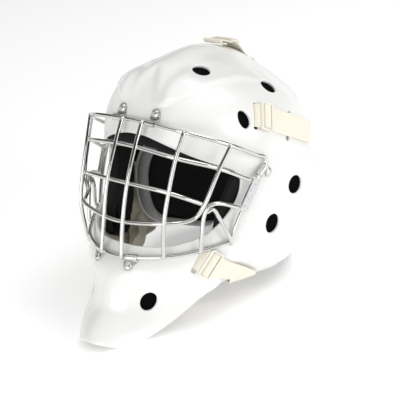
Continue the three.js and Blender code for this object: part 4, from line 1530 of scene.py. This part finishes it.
# Where the upright wires of the wearer's left meet the level ones.
CROSSINGS = {
    level: {place: vec(*point) for place, point in zip(PLACES, points)}
    for level, points in {
        "brow": ((12.4, -97.3, 100.8), (58.9, -92.6, 97.3), (88.7, -63.1, 84.7)),
        "eye": ((12.4, -106.8, 78.7), (56.4, -100.8, 74.1), (84, -73.1, 63.7)),
        "nose": ((12.5, -118.1, 46.3), (55, -109.4, 43), (77, -86, 31)),
        "mouth": ((12.1, -124.8, 10.5), (53.6, -114.5, 14.6)),
        "chin": ((12.8, -128.4, -22.8), (49.7, -111.1, -19.6), (72.6, -85.8, -15.2)),
    }.items()
}
FRAME_CORNER = vec(86.5, -58.9, -8.9)


def outward(point: Array, distance: float) -> Array:
    """A point moved level away from the middle of the head."""
    return point + unit(vec(point[0], point[1] + 10, 0)) * distance


def front(level: str, place: str) -> Array:
    """A point of an upright wire, which lies in front of the level one."""
    return outward(CROSSINGS[level][place], WELD_OFFSET)


def behind(level: str, place: str) -> Array:
    """A point of a level wire, which lies behind the upright one."""
    return outward(CROSSINGS[level][place], -WELD_OFFSET)


def full_width(half: list[Array]) -> Array:
    """A wire through the points of its left half and their mirror images."""
    points = np.array(half)
    return np.vstack([points[::-1] * (-1, 1, 1), points])


# The left halves of the level wires, from the middle outwards.
FRAME_HALF = [
    *(behind("brow", place) for place in PLACES), vec(96, -32, 70.6), vec(98.6, -22.5, 66.5),
    vec(98.9, -22.4, 60.5), vec(98, -34.1, 49.2), vec(92, -50, 17), FRAME_CORNER,
]
CHIN_HALF = [*(behind("chin", place) for place in PLACES), outward(FRAME_CORNER, WELD_OFFSET)]
EYE_HALF = [*(behind("eye", place) for place in PLACES), vec(96.3, -42, 48.5)]
NOSE_HALF = [behind("nose", place) for place in PLACES]
# The side upright bends inwards under the cheek and goes on as the mouth wire.
MOUTH_HALF = [
    behind("mouth", "inner"), behind("mouth", "outer"), vec(64.5, -99, 15.2), vec(70.5, -90.5, 18.5),
    *(front(level, "side") for level in ("nose", "eye", "brow")),
]
ARCH = [
    front("chin", "side"), vec(74.8, -85.8, 5), vec(75.3, -84.2, 18), vec(78, -80.5, 28.5),
    vec(83, -72.5, 30.5), vec(91.5, -53.6, 24),
]
STRUT = [
    vec(76.5, -80.5, 23), vec(79.5, -76, 25), vec(82.4, -70.5, 16), outward(FRAME_CORNER, 4),
    vec(87.6, -58.6, -11.6),
]
# Width, length and thickness of the label and of the plate under it.
LABEL_PLATE = (10.0, 34.0, 1.6)
LABEL_SIZE = (9.4, 32.6, 0.5)
LABEL_CORNER = 1.6
LABEL_PLATE_LIFT = 1.5


def label_frame() -> Frame:
    """The frame of the label's plate: y along it, z outwards.

    Returns:
        The frame.
    """
    along = unit(vec(5.2, 14, 28.2))
    normal = -unit(np.cross(along, vec(0.2, 1, 0)))
    return Frame(vec(94.9, -42.6, 34.7), np.array([-np.cross(normal, along), along, normal]))


def label_form(size: tuple[float, float, float], lift: float, chamfer: float) -> Form:
    """A plate with rounded corners on the label's place.

    Args:
        size: Width, length and thickness.
        lift: Height of its middle.
        chamfer: Width of the broken edges.

    Returns:
        The plate of the left.
    """
    width, length, thickness = size
    outline = rounded_rectangle(width, length, LABEL_CORNER)
    plate = prism(outline, lift - thickness / 2, lift + thickness / 2, chamfer)
    return replace(plate, points=label_frame().out(plate.points))


@dataclass
class Cage:
    """The welded wire cage, with the two plates that carry the labels.

    Attributes:
        radius: Radius of the wire.
        bead_radius: Radius of a weld bead.
        corner_beads: Places of the beads at the frame's corner, outwards from it.
        chamfer: Width of the broken edges of the plates.
        steps: How many pieces each length between two points of a wire is divided into.
    """

    radius: float = 2.0
    bead_radius: float = 2.25
    corner_beads: tuple[float, float] = (0.7, 2.8)
    chamfer: float = 0.35
    steps: int = 9

    def wires(self) -> list[Form]:
        """Every wire: the level ones run right across, the others are in pairs.

        Returns:
            The wires.
        """
        level = [full_width(half) for half in (FRAME_HALF, CHIN_HALF, EYE_HALF, NOSE_HALF, MOUTH_HALF)]
        uprights = [[front(name, place) for name in LEVELS] for place in ("inner", "outer")]
        paired = [tube(spline(np.array(run), self.steps), self.radius) for run in (*uprights, ARCH, STRUT)]
        whole = [tube(spline(run, self.steps), self.radius) for run in level]
        return whole + paired + [wire.mirrored() for wire in paired]

    def welds(self) -> list[Form]:
        """A bead wherever two wires meet.

        Returns:
            The beads.
        """
        places = [point for level in CROSSINGS.values() for point in level.values()]
        places += [outward(FRAME_CORNER, distance) for distance in self.corner_beads]
        beads = [bead(place, self.bead_radius) for place in places]
        return beads + [one.mirrored() for one in beads]

    def build(self) -> Piece:
        """Builds the cage in one piece.

        Returns:
            The cage.
        """
        plate = label_form(LABEL_PLATE, LABEL_PLATE_LIFT, self.chamfer)
        parts = [*self.wires(), *self.welds(), plate, plate.mirrored()]
        form = parts[0].joined(*parts[1:])
        return dress(form.build("Wire cage", "cage", crease=50), "cage_steel", Look.STEEL)


@dataclass
class Label:
    """The bare label on one side of the cage."""

    side: Side
    chamfer: float = 0.12

    def build(self) -> Piece:
        """Builds the label, lying on its plate.

        Returns:
            The label.
        """
        lift = LABEL_PLATE_LIFT + (LABEL_PLATE[2] + LABEL_SIZE[2]) / 2 + GAP
        form = label_form(LABEL_SIZE, lift, self.chamfer).on(self.side)
        name = self.side.value
        return dress(form.build(f"Cage label {name}", f"label_{name}", crease=35), "label_white", Look.LABEL)


# ---- Clips and screws --------------------------------------------------------


def wire_line() -> tuple[Array, Array]:
    """Close points along the frame and the chin wire, and the direction of the wire at each."""
    lines = [spline(full_width(half), 60) for half in (FRAME_HALF, CHIN_HALF)]
    return np.vstack(lines), np.vstack([unit(np.gradient(line, axis=0)) for line in lines])


@dataclass
class Fixing:
    """A folded clip over a wire of the cage and the screw that holds it, on one side.

    Attributes:
        name: Which of the side's three fixings it is.
        side: The side of the mask.
        place: The screw's place on the shell's left.
        width: Width of the hook.
        shift: How far the hook is shifted along the wire from the screw.
        sheet: Thickness of the sheet metal.
        hook_radius: Inner radius of the hook.
        tab_radius: Radius of the tab's round end.
        tab_end: Distance from the screw to the leg.
        tab_lift: Height of the tab's underside over the shell.
        chamfer: Width of the clip's broken edges.
        head_radius: Radius of the screw's head.
        head_height: Height of the screw's head.
        head_edge: Height of the head's straight edge, under the dome.
        shank_radius: Radius of the shank.
        shank_length: How far the shank goes into the shell.
        recess_depth: Depth of the cross recess.
    """

    name: str
    side: Side
    place: Place
    width: float
    shift: float
    sheet: float = 0.9
    hook_radius: float = 2.35
    tab_radius: float = 5.0
    tab_end: float = 4.8
    tab_lift: float = 2 * GAP
    chamfer: float = 0.15
    head_radius: float = 4.2
    head_height: float = 2.4
    head_edge: float = 0.35
    shank_radius: float = 1.9
    shank_length: float = 3.9
    recess_depth: float = 0.6

    def __post_init__(self) -> None:
        """Finds the wire that the clip hooks over, and the frame of the whole."""
        points, tangents = wire_line()
        point, normal = self.place
        foot = np.linalg.norm(points - point, axis=1).argmin()
        turn = np.sign(np.cross(points[foot] - point, normal).dot(tangents[foot]))
        aim = points[foot] + tangents[foot] * turn * self.shift
        hook = np.linalg.norm(points - aim, axis=1).argmin()
        axis = tangents[hook] * turn
        out = unit(normal - axis * normal.dot(axis))
        self.frame = Frame(point, np.array([axis, np.cross(out, axis), out]))
        self.centre = self.frame.local(points[hook])

    def clip(self) -> Form:
        """The clip: a tab with a round end, a leg and a hook over the wire.

        Returns:
            The clip, drawn for the left.
        """
        low, high, end = self.tab_lift, self.tab_lift + self.sheet, self.tab_end
        turns = np.radians(np.linspace(180, -30, 22))
        ring = np.column_stack([np.cos(turns), np.sin(turns)])
        leg = [(end + self.sheet * 0.6, low), (end - 0.2, low), (end - 0.2, high)]
        outer, inner = (self.centre[1:] + ring * r for r in (self.hook_radius + self.sheet, self.hook_radius))
        start = self.centre[0] - self.width / 2
        hook = prism(np.vstack([outer, inner[::-1], leg])[::-1], start, start + self.width, self.chamfer)
        hook = replace(hook, points=hook.points[:, [2, 0, 1]])
        left, right = min(-self.tab_radius, start), max(self.tab_radius, start + self.width)
        turns = np.linspace(math.pi, 2 * math.pi, 20)
        round_end = self.tab_radius * np.column_stack([np.cos(turns), np.sin(turns)])
        straight = [(right, end - 1.5), (right, end), (left, end), (left, end - 1.5)]
        form = hook.joined(prism(np.vstack([round_end, straight]), low, high, self.chamfer))
        return replace(form, points=self.frame.out(form.points))

    def screw(self) -> Form:
        """The screw: a domed head with a cross recess, and its shank.

        Returns:
            The screw, drawn for the left.
        """
        seat = self.tab_lift + self.sheet + GAP
        shank, foot, brim = self.shank_radius, -self.shank_length, seat + self.head_edge
        profile = [(0.01, foot), (shank, foot), (shank, seat), (self.head_radius - 0.3, seat)]
        for t in np.linspace(0, 1.565, 14):
            rise = (self.head_height - self.head_edge) * math.sin(t)
            profile.append((self.head_radius * math.cos(t), brim + rise))
        rings, turns = [], circle(48)
        for radius, height in profile:
            x, y = radius * np.cos(turns), radius * np.sin(turns)
            arm = 1 - smooth(0.3, 0.6, np.minimum(np.abs(x), np.abs(y)))
            recess = arm * (1 - smooth(1.7, 2.1, np.hypot(x, y))) * (height > seat + 0.4)
            rings.append(np.column_stack([x, y, height - self.recess_depth * recess]))
        return Form(self.frame.out(np.vstack(rings)), sleeve(len(rings), len(turns)))

    def build(self) -> list[Piece]:
        """Builds the clip and the screw.

        Returns:
            Both pieces.
        """
        pieces = []
        for kind, form, crease in (("clip", self.clip(), 38), ("screw", self.screw(), 50)):
            node = f"{kind}_{self.name}_{self.side.value}"
            piece = form.on(self.side).build(node.capitalize(), node, crease=crease)
            pieces.append(dress(piece, "cage_steel", Look.PLATED))
        return pieces


def fixings(side: Side) -> list[Fixing]:
    """The three fixings of one side.

    Args:
        side: The side.

    Returns:
        The fixings.
    """
    return [
        Fixing("top", side, SHELL_SKIN.on_front(20.9, 107.9), 11, 0),
        Fixing("side", side, SHELL_SKIN.on_side(-17.9, 51.9), 12, -4.4),
        Fixing("bottom", side, SHELL_SKIN.on_front(19.5, -30.3), 11, 3.6),
    ]


# ---- Straps and slides -------------------------------------------------------


def threading(standoff: float) -> list[tuple[float, float]]:
    """The way of the webbing through a slide, as (distance behind its front edge, height) pairs.

    Args:
        standoff: Height of the slide's underside.

    Returns:
        The pairs.
    """
    low = standoff - GAP - WEBBING_THICKNESS / 2
    high = standoff + SLIDE_THICKNESS + GAP + WEBBING_THICKNESS / 2
    bar, middle = SLIDE_BAR, SLIDE_LENGTH / 2
    half = [
        (0, low), (bar + 0.2, low), (bar + 1.3, low + 1), (middle - bar / 2 - 1.3, high - 0.6),
        (middle - bar / 2, high),
    ]
    return half + [(SLIDE_LENGTH - along, height) for along, height in half[::-1]]


def frame_rows(place: Frame, points: Sequence[tuple[float, float]]) -> list[Array]:
    """Rows across the webbing in a slide's frame, from (distance behind its front edge, height) pairs."""
    middle = SLIDE_LENGTH / 2
    return [place.out([(across, middle - along, height) for across in ACROSS]) for along, height in points]


def slot_rows(place: Frame, side: int, run: int) -> list[Array]:
    """The webbing's last rows: over the back plate's outer face and down into its slot."""
    ways = [(-9, STRAP_LIFT + 0.4), (-3.6, STRAP_LIFT + 0.3), (-1.4, 0.3), (0, -1.6), (0.6, -PLATE_WALL)]
    return [place.out([(across * side, along * run, lift) for across in ACROSS]) for along, lift in ways]


def between(start: Array, end: Array, shares: Sequence[float]) -> list[Array]:
    """Rows part of the way from one row to another."""
    return [start + (end - start) * share for share in shares]


def plate_slot(middle: Place, end: Array) -> Frame:
    """The frame of a slot of the back plate, whose length runs to an end."""
    return Frame.at(middle[0], middle[1], end - middle[0])


def rear_place(height: float) -> Place:
    """The place of the back plate on the centre plane at a height."""
    point, normal = PLATE_SKIN.place(PLATE_SKIN.row_of_height(height), math.pi, 0)
    return point[0], normal[0]


UPPER_END = plate_slot(PLATE_SKIN.on_side(84, 62), PLATE_SKIN.on_side(88.3, 72.3)[0])
LOWER_END = plate_slot(PLATE_SKIN.on_side(30, -10), PLATE_SKIN.on_side(24, -2)[0])
TOP_END = plate_slot(rear_place(84), vec(-12, 104, 84))
# The webbing's tail inside the shell and its way out through the slot: places along the line, and lifts.
TAIL = [(-7.5, INNER_LIFT), (-6, INNER_LIFT), (-3.9, -SHELL_WALL), (-1.2, 0.1)]
TEMPLE_RUN = (20, 30, 42, 54, 61, 68)
TOP_SLIDE_FRAME = Frame.at(*SHELL_SKIN.on_crown(0, 39), vec(-1, 0, 0))
RIM_LIFT = STRAP_LIFT + 0.6
JAW_RUN = [(0.28, 2.7), (0.5, 3.7), (0.7, 3.6), (0.86, 3)]
# The fold round the jaw edge: the back and the front end of each row in the side view, and its lift.
JAW_FOLD = [
    ((-14.5, -53), (-44.5, -54.5), RIM_LIFT + 0.8),
    ((-12.6, -57.2), (-42.8, -58.6), RIM_LIFT + 0.8),
    ((-12, -58.6), (-42, -59.8), 0.8),
    ((-11.7, -59), (-41.5, -59.8), -1.8),
    ((-11.2, -58.6), (-41, -59.3), -4.4),
    ((-10.6, -56), (-40, -56.4), INNER_LIFT - 0.6),
    ((-9, -53.6), (-33, -49), INNER_LIFT - 0.4),
    ((-5, -50.5), (-22, -38.5), INNER_LIFT - 0.4),
    ((5, -43), (-8, -27), INNER_LIFT - 0.4),
    ((15, -33), (4, -15), INNER_LIFT - 1.4),
]
FIRST_INNER_ROW = 5


def fold_row(back: tuple[float, float], fore: tuple[float, float], lift: float) -> Array:
    """One row of the fold round the jaw edge."""
    start, step = np.array(back), (np.array(fore) - back) / 2
    return np.array([SHELL_SKIN.on_true_side(*(start + step * k), lift) for k in range(3)])


@dataclass
class SideStrap:
    """One of the two elastic straps of a side, with its slide."""

    name: str
    side: Side
    line: StrapLine

    def rows(self) -> list[Array]:
        """The rows of the webbing, from its tail inside the shell to the back plate.

        Returns:
            The rows.
        """
        tail = self.line.rows([(at, at, lift) for at, lift in TAIL])
        slide = frame_rows(self.line.frame_at(SLIDE_LENGTH / 2), threading(SIDE_STANDOFF))
        return tail + slide + (self.upper_run() if self.line is UPPER else self.lower_run())

    def upper_run(self) -> list[Array]:
        """Along the temple, off the rear edge of the shell and to the back plate.

        Returns:
            The rows.
        """
        run = self.line.rows([(at, at, STRAP_LIFT + 0.008 * at) for at in TEMPLE_RUN])
        end = slot_rows(UPPER_END, 1, -1)
        return run + between(run[-1], end[0], (0.3, 0.65)) + end

    def lower_run(self) -> list[Array]:
        """Across the jaw, round its edge and on behind the shell to the back plate.

        Returns:
            The rows.
        """
        (start,) = self.line.rows([(20, 18, STRAP_LIFT)])
        fold = [fold_row(*row) for row in JAW_FOLD]
        jaw = []
        for share, lift in JAW_RUN:
            aims = start + (fold[0] - start) * share
            jaw.append(np.array([SHELL_SKIN.on_true_side(y, z, lift) for _, y, z in aims]))
        return [start, *jaw, *fold, *slot_rows(LOWER_END, -1, 1)]

    def build(self) -> list[Piece]:
        """Builds the webbing and its slide.

        Returns:
            Both pieces.
        """
        side = self.side.value
        web = ribbon(np.array(self.rows()), WEBBING_THICKNESS).on(self.side)
        strap = web.build(f"{self.name.capitalize()} strap {side}", f"{self.name}_strap_{side}")
        slide = moulded_slide(f"{self.name}_slide_{side}")
        return [dress(strap, "elastic_cream", Look.WEBBING), slide]


SLIDE_BEVEL = 0.55


def moulded_slide(node: str) -> Piece:
    """A slide: the frame's own bars with the soft edges of a moulding.

    Args:
        node: The frame's node, which it replaces.

    Returns:
        The slide.
    """
    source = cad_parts[node]
    mesh = source.data.copy()
    mesh.transform(source.matrix_world)
    edit = bmesh.new()
    edit.from_mesh(mesh)
    bmesh.ops.dissolve_limit(edit, angle_limit=math.radians(2), verts=edit.verts, edges=edit.edges)
    sharp = [edge for edge in edit.edges if edge.is_manifold and edge.calc_face_angle(0) > math.radians(30)]
    bmesh.ops.bevel(edit, geom=sharp, offset=SLIDE_BEVEL * MM, segments=3, profile=0.5, affect="EDGES")
    edit.to_mesh(mesh)
    edit.free()
    mesh.shade_smooth()
    mesh.set_sharp_from_angle(angle=math.radians(35))
    piece = placed(node.capitalize(), mesh)
    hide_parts(node)
    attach(piece, "root")
    return dress(piece, "slide_cream", Look.SLIDE)


@dataclass
class TopStrap:
    """The elastic strap over the crown, with its slide standing up from the shell.

    Attributes:
        hem: Folded free end, as (distance behind the slide's front edge, drop below the webbing) pairs.
        crown: Rows on the crown behind the slide, as (y, rise over the strap's usual lift) pairs.
        edge_y: Where the webbing leaves the shell's rear edge.
        edge_heights: Heights of that row's three points.
    """

    hem: tuple[tuple[float, float], ...] = ((-5, 3.0), (-12, 3.3), (-14, 2), (-12.5, 0.6), (-6, 0))
    crown: tuple[tuple[float, float], ...] = ((54, 0.6), (60, 0), (66, 0))
    edge_y: float = 72.5
    edge_heights: tuple[float, float, float] = (138.4, 138.9, 138.4)

    def rows(self) -> list[Array]:
        """From its free end on the crown, through the slide and down to the back plate.

        Returns:
            The rows.
        """
        low = TOP_STANDOFF - GAP - WEBBING_THICKNESS / 2
        hem = [(along, low - drop) for along, drop in self.hem]
        rows = frame_rows(TOP_SLIDE_FRAME, hem + threading(TOP_STANDOFF))
        for y, rise in self.crown:
            lift = STRAP_LIFT + rise
            rows.append(np.array([SHELL_SKIN.on_crown(-across, y, lift)[0] for across in ACROSS]))
        over = np.array([(-across, self.edge_y, height) for across, height in zip(ACROSS, self.edge_heights)])
        end = slot_rows(TOP_END, 1, 1)
        return [*rows, over, *between(over, end[0], (0.35, 0.7)), *end]

    def build(self) -> list[Piece]:
        """Builds the webbing and its slide."""
        strap = ribbon(np.array(self.rows()), WEBBING_THICKNESS).build("Top strap", "top_strap")
        return [dress(strap, "elastic_cream", Look.WEBBING), moulded_slide("top_slide")]


# Upper and lower edge of the sling's left half, from the middle outwards.
SLING_HALF = [
    (vec(1, -83, -78), vec(1, -66, -88)), (vec(22, -79, -73), vec(20, -62, -83)),
    (vec(42, -66, -64), vec(39, -52, -77)), (vec(57, -46, -53), vec(55, -37, -65.5)),
    (vec(65, -33, -49.5), vec(62, -28, -62)),
]
# Its end beside the lower strap: y, the heights of both edges, and how far inside the strap it lies.
SLING_ANCHOR = [(-20, -45.5, -58.5, 7.0), (-11, -41, -54.5, 4.8), (-3, -37, -51, 3.6), (6, -32, -46, 3.4)]


@dataclass
class ChinSling:
    """The elastic sling under the wearer's chin."""

    thickness: float = 1.8

    def rows(self) -> Array:
        """Rows of its upper and lower edge, from one anchor to the other.

        Returns:
            The rows.
        """
        half = [*SLING_HALF]
        for y, top, foot, drop in SLING_ANCHOR:
            half.append(tuple(SHELL_SKIN.on_true_side(y, z, INNER_LIFT - drop) for z in (top, foot)))
        return full_rows(np.array(half))

    def build(self) -> Piece:
        """Builds the sling."""
        form = ribbon(self.rows(), self.thickness)
        return dress(form.build("Chin sling", "chin_strap"), "elastic_cream", Look.WEBBING)


def full_rows(half: Array) -> Array:
    """Rows from the right end to the left end, from the rows of the left half."""
    return np.concatenate([half[::-1] * (-1, 1, 1), half])


# ---- Back plate and pads -----------------------------------------------------

PLATE_EDGE = [
    (115, 92), (75, 76), (36, 56), (9, 35), (-1, 12), (-1, -10), (4, -30), (20, -45), (38, -51.5), (58, -57),
    (72, -60), (83, rest_height(83)),
]
PLATE_OUTLINE = Outline(
    np.vstack([spline(np.array(PLATE_EDGE), EDGE_STEPS), [(FAR, rest_height(FAR)), (FAR, 95)]])
)
LINER = -PLATE_WALL - GLUE_GAP
SHELL_LINER = -SHELL_WALL - GLUE_GAP


def foam_pad(form: Form, name: str, node: str) -> Piece:
    """Builds a pad, stuffed and dressed in foam."""
    return dress(form.build(name, node), "foam_black", Look.FOAM, Look.FOAM)


@dataclass
class BackPlate:
    """The plate behind the head, with its pad and the binding round the pad.

    Attributes:
        slot: Length and width of the four side slots.
        top_slot: Length and width of the top strap's slot.
        binding_thickness: Thickness of the binding.
        binding_band: Where the binding starts and ends, inwards from the plate's outline.
        pad_thickness: Thickness of the pad.
        pad_inset: Distance of the pad's edge from the plate's outline.
    """

    slot: tuple[float, float] = (26.0, 6.0)
    top_slot: tuple[float, float] = (27.5, 7.5)
    binding_thickness: float = 12.0
    binding_band: tuple[float, float] = (0.5, 7.5)
    pad_thickness: float = 11.0
    pad_inset: float = 7.8

    def plate_keep(self, points: Array, normals: Array) -> Array:
        """Distance inside the plate and outside its slots.

        Args:
            points: Points, one a row.
            normals: The skin's outward normals there.

        Returns:
            The distances, positive inside.
        """
        left = to_left(points)
        distance = side_view(PLATE_OUTLINE, points, normals)
        for place in (UPPER_END, LOWER_END):
            distance = np.minimum(distance, Slot(place, *self.slot).outside(left))
        distance = np.minimum(distance, Slot(TOP_END, *self.top_slot).outside(points))
        return np.minimum(distance, above_rest(points, normals, PLATE_WALL))

    def border_keep(self, points: Array, normals: Array) -> Array:
        """Distance inside the binding's band.

        Args:
            points: Points, one a row.
            normals: The skin's outward normals there.

        Returns:
            The distances, positive inside.
        """
        distance, (start, end) = side_view(PLATE_OUTLINE, points, normals), self.binding_band
        band = np.minimum(distance - start, end - distance)
        return np.minimum(band, above_rest(points, normals, self.binding_thickness))

    def pad_keep(self, points: Array, normals: Array) -> Array:
        """Distance inside the pad."""
        distance = side_view(PLATE_OUTLINE, points, normals) - self.pad_inset
        return np.minimum(distance, above_rest(points, normals, self.pad_thickness))

    def build(self) -> list[Piece]:
        """Builds the plate, the pad and its binding.

        Returns:
            All three pieces.
        """
        plate = Panel(PLATE_SKIN, self.plate_keep, 0, -PLATE_WALL, rim=1.2, pitch=3.6, columns=200)
        inner = LINER - self.pad_thickness
        foam = Panel(PLATE_SKIN, self.pad_keep, LINER, inner, rim=1.0, pitch=4.2, columns=170, puff=3.0)
        inner = LINER - self.binding_thickness
        band = Panel(PLATE_SKIN, self.border_keep, LINER, inner, rim=2.3, pitch=1.4, columns=480, rim_steps=8)
        pad = foam_pad(foam.form(), "Back pad", "back_pad")
        hard = dress(plate.form().build("Back plate", "back_plate"), "shell_white", Look.SHELL, Look.SHELL)
        soft = band.form().build("Back pad binding", "back_pad_border")
        return [hard, pad, dress(soft, "border_grey", Look.BORDER, Look.BORDER)]


FOREHEAD_HALF = [
    (0, 111), (30, 110.5), (52, 109), (68, 101), (75, 88), (73, 60), (64, 59), (40, 68.5), (20, 74), (0, 76)
]
SIDE_PAD_EDGE = [
    (-30, 58), (-45, 48), (-52, 28), (-58, 10), (-64, -8), (-65, -29), (-52, -41), (-30, -40), (-13, -29),
    (-4, -10), (-3, 40), (-12, 55),
]
# Openings in the lower front of the side pad, between its diagonal arms.
PAD_OPENINGS = [
    [(-61, -12), (-57, -10), (-50, -31), (-54, -34)],
    [(-50, -9), (-45, -7), (-39, -28), (-43, -32)],
]


def rounded(corners: Sequence[tuple[float, float]], times: int = 3) -> Outline:
    """A closed outline with its corners cut back until they are round.

    Args:
        corners: The corners.
        times: How often they are cut back.

    Returns:
        The outline.
    """
    points = np.array(corners, float)
    for _ in range(times):
        following = np.roll(points, -1, axis=0)
        points = np.stack([points * 0.8 + following * 0.2, points * 0.2 + following * 0.8], 1).reshape(-1, 2)
    return Outline(points)


@dataclass
class ForeheadPad:
    """The foam across the brow."""

    thickness: float = 14.0
    clear: float = 0.5  # from where the glued pads lie
    puff: float = 3.5

    def __post_init__(self) -> None:
        """Draws the outline from its left half."""
        other = [(-x, z) for x, z in FOREHEAD_HALF[-2:0:-1]]
        self.outline = rounded([*FOREHEAD_HALF, *other])

    def keep(self, points: Array, normals: Array) -> Array:
        """Distance inside the pad, which is all on the front."""
        distance = front_view(self.outline, points, normals)
        return np.where(points[:, 1] < OPENING_BACK, distance, -FAR)

    def build(self) -> Piece:
        """Builds the pad.

        Returns:
            The pad.
        """
        outer, inner = SHELL_LINER - self.clear, SHELL_LINER - self.thickness
        panel = Panel(SHELL_SKIN, self.keep, outer, inner, rim=2.2, pitch=3.6, columns=200, puff=self.puff)
        return foam_pad(panel.form(), "Forehead pad", "forehead_pad")


@dataclass
class SidePad:
    """The foam beside the cheek and the jaw, on one side."""

    side: Side
    thickness: float = 12.0
    puff: float = 2.5
    channel_depth: float = 4.6

    def __post_init__(self) -> None:
        """Draws the pad's outline, its openings and the strap's channel."""
        self.outline = rounded(SIDE_PAD_EDGE)
        self.openings = [rounded(corners, 2) for corners in PAD_OPENINGS]
        inner = JAW_FOLD[FIRST_INNER_ROW:]
        around = [back for back, _, _ in inner] + [fore for _, fore, _ in inner[::-1]]
        self.channel = Outline(np.array(around))

    def keep(self, points: Array, normals: Array) -> Array:
        """Distance inside the pad and outside its openings, on the wearer's left.

        Args:
            points: Points, one a row.
            normals: The skin's outward normals there.

        Returns:
            The distances, positive inside.
        """
        distance = side_view(self.outline, points, normals)
        for opening in self.openings:
            distance = np.minimum(distance, -side_view(opening, points, normals))
        return np.where(points[:, 0] > 20, distance, -FAR)

    def groove(self, points: Array) -> Array:
        """Depth of the channel in the pad's outer face for the lower strap."""
        distance, _ = self.channel.inside(points[:, 1:3])
        return self.channel_depth * smooth(-7, -2, distance)

    def build(self) -> Piece:
        """Builds the pad.

        Returns:
            The pad.
        """
        lifts = (SHELL_LINER, SHELL_LINER - self.thickness)
        panel = Panel(SHELL_SKIN, self.keep, *lifts, 1.6, 2.8, 270, puff=self.puff, groove=self.groove)
        name = self.side.value
        return foam_pad(panel.form().on(self.side), f"Side pad {name}", f"side_pad_{name}")


# ---- Studio ------------------------------------------------------------------


# In metres.
FLOOR_REACH = 12.0
LAMP_AIM = (0.0, 0.0, 0.12)


@dataclass
class SoftBox:
    """A large soft lamp: where it hangs, its size and its power."""

    name: str
    place: tuple[float, float, float]
    size: float
    power: float

    def build(self) -> Piece:
        """Hangs the lamp, aimed at the middle of the mask.

        Returns:
            The lamp.
        """
        lamp = bpy.data.lights.new(self.name, "AREA")
        lamp.shape = "DISK"
        lamp.size = self.size
        lamp.energy = self.power
        piece = placed(self.name, lamp)
        piece.location = self.place
        piece.rotation_mode = "QUATERNION"
        piece.rotation_quaternion = (Vector(self.place) - Vector(LAMP_AIM)).to_track_quat("Z", "Y")
        return piece


@dataclass
class Studio:
    """A pale floor, soft light from above, from the wearer's left and from the front, and the camera."""

    azimuth: float = 40.05
    elevation: float = 17.3
    distance: float = 1050.0
    focal_length: float = 91.8
    lamps: list[SoftBox] = field(
        default_factory=lambda: [
            SoftBox("Overhead softbox", (0.5, 0.8, 1.8), 1.0, 10.0),
            SoftBox("Left softbox", (1.9, 0.1, 0.7), 1.0, 9.5),
            SoftBox("Front fill", (0.3, -1.9, 0.55), 1.2, 11.0),
        ]
    )

    def floor(self) -> Piece:
        """The pale floor.

        Returns:
            The floor.
        """
        mesh = bpy.data.meshes.new("Floor")
        corners = [(x * FLOOR_REACH, y * FLOOR_REACH, 0) for x, y in ((-1, -1), (1, -1), (1, 1), (-1, 1))]
        mesh.from_pydata(corners, [], [(0, 1, 2, 3)])
        made = bpy.data.materials.new("pale studio floor")
        made.use_nodes = True
        inputs = made.node_tree.nodes["Principled BSDF"].inputs
        inputs["Base Color"].default_value = linear("#f6f6f6")
        inputs["Roughness"].default_value = 0.9
        inputs["Emission Color"].default_value = linear("#ffffff")
        inputs["Emission Strength"].default_value = 0.3
        mesh.materials.append(made)
        piece = placed("Floor", mesh)
        return piece

    def sky(self) -> None:
        """A pale room with a dark band above the horizon, so that the steel has something to show."""
        world = bpy.data.worlds.new("Studio")
        world.use_nodes = True
        tree = world.node_tree
        tree.nodes.clear()
        way = add_node(tree, "ShaderNodeTexCoord").outputs["Generated"]
        height = add_node(tree, "ShaderNodeSeparateXYZ", {0: way}).outputs["Z"]
        tone = add_node(tree, "ShaderNodeValToRGB", {"Fac": height})
        stops = tone.color_ramp.elements
        stops[0].position, stops[0].color = 0.2, (1.0, 1.0, 1.0, 1.0)
        stops[1].position, stops[1].color = 0.85, (0.9, 0.9, 0.9, 1.0)
        for position, level in ((0.3, 0.06), (0.6, 0.06)):
            stops.new(position).color = (level, level, level, 1.0)
        light = add_node(tree, "ShaderNodeBackground", {"Color": tone.outputs[0], "Strength": 1.0})
        add_node(tree, "ShaderNodeOutputWorld", {"Surface": light.outputs[0]})
        bpy.context.scene.world = world

    def camera(self) -> Piece:
        """The camera, level across the mask in its wearing pose.

        Returns:
            The camera.
        """
        turn, tilt = math.radians(self.azimuth), math.radians(self.elevation)
        back = vec(math.sin(turn) * math.cos(tilt), -math.cos(turn) * math.cos(tilt), math.sin(tilt))
        right = vec(math.cos(turn), math.sin(turn), 0)
        axes = tipped(np.array([right, np.cross(back, right), back]))
        made = bpy.data.cameras.new("Camera")
        made.lens = self.focal_length
        made.sensor_width = 36.0
        made.clip_start, made.clip_end = 0.05, 60.0
        piece = placed("Camera", made)
        place = Matrix(axes.T.tolist()).to_4x4()
        place.translation = Vector(to_world(back * self.distance))
        piece.matrix_world = place
        bpy.context.scene.camera = piece
        return piece

    def build(self) -> None:
        """Sets the studio up."""
        self.floor()
        self.sky()
        for lamp in self.lamps:
            lamp.build()
        self.camera()
        bpy.context.scene.view_settings.view_transform = "Standard"


# ---- The whole mask ----------------------------------------------------------


def main() -> None:
    """Builds every piece of the mask in order, and the studio round it."""
    logging.basicConfig(level=logging.INFO, format="%(message)s")
    ShellPiece().build()
    Cage().build()
    for side in Side:
        Label(side).build()
        for fixing in fixings(side):
            fixing.build()
        SideStrap("upper", side, UPPER).build()
        SideStrap("lower", side, LOWER).build()
        SidePad(side).build()
    TopStrap().build()
    ChinSling().build()
    BackPlate().build()
    ForeheadPad().build()
    Studio().build()


if __name__ == "__main__":
    main()
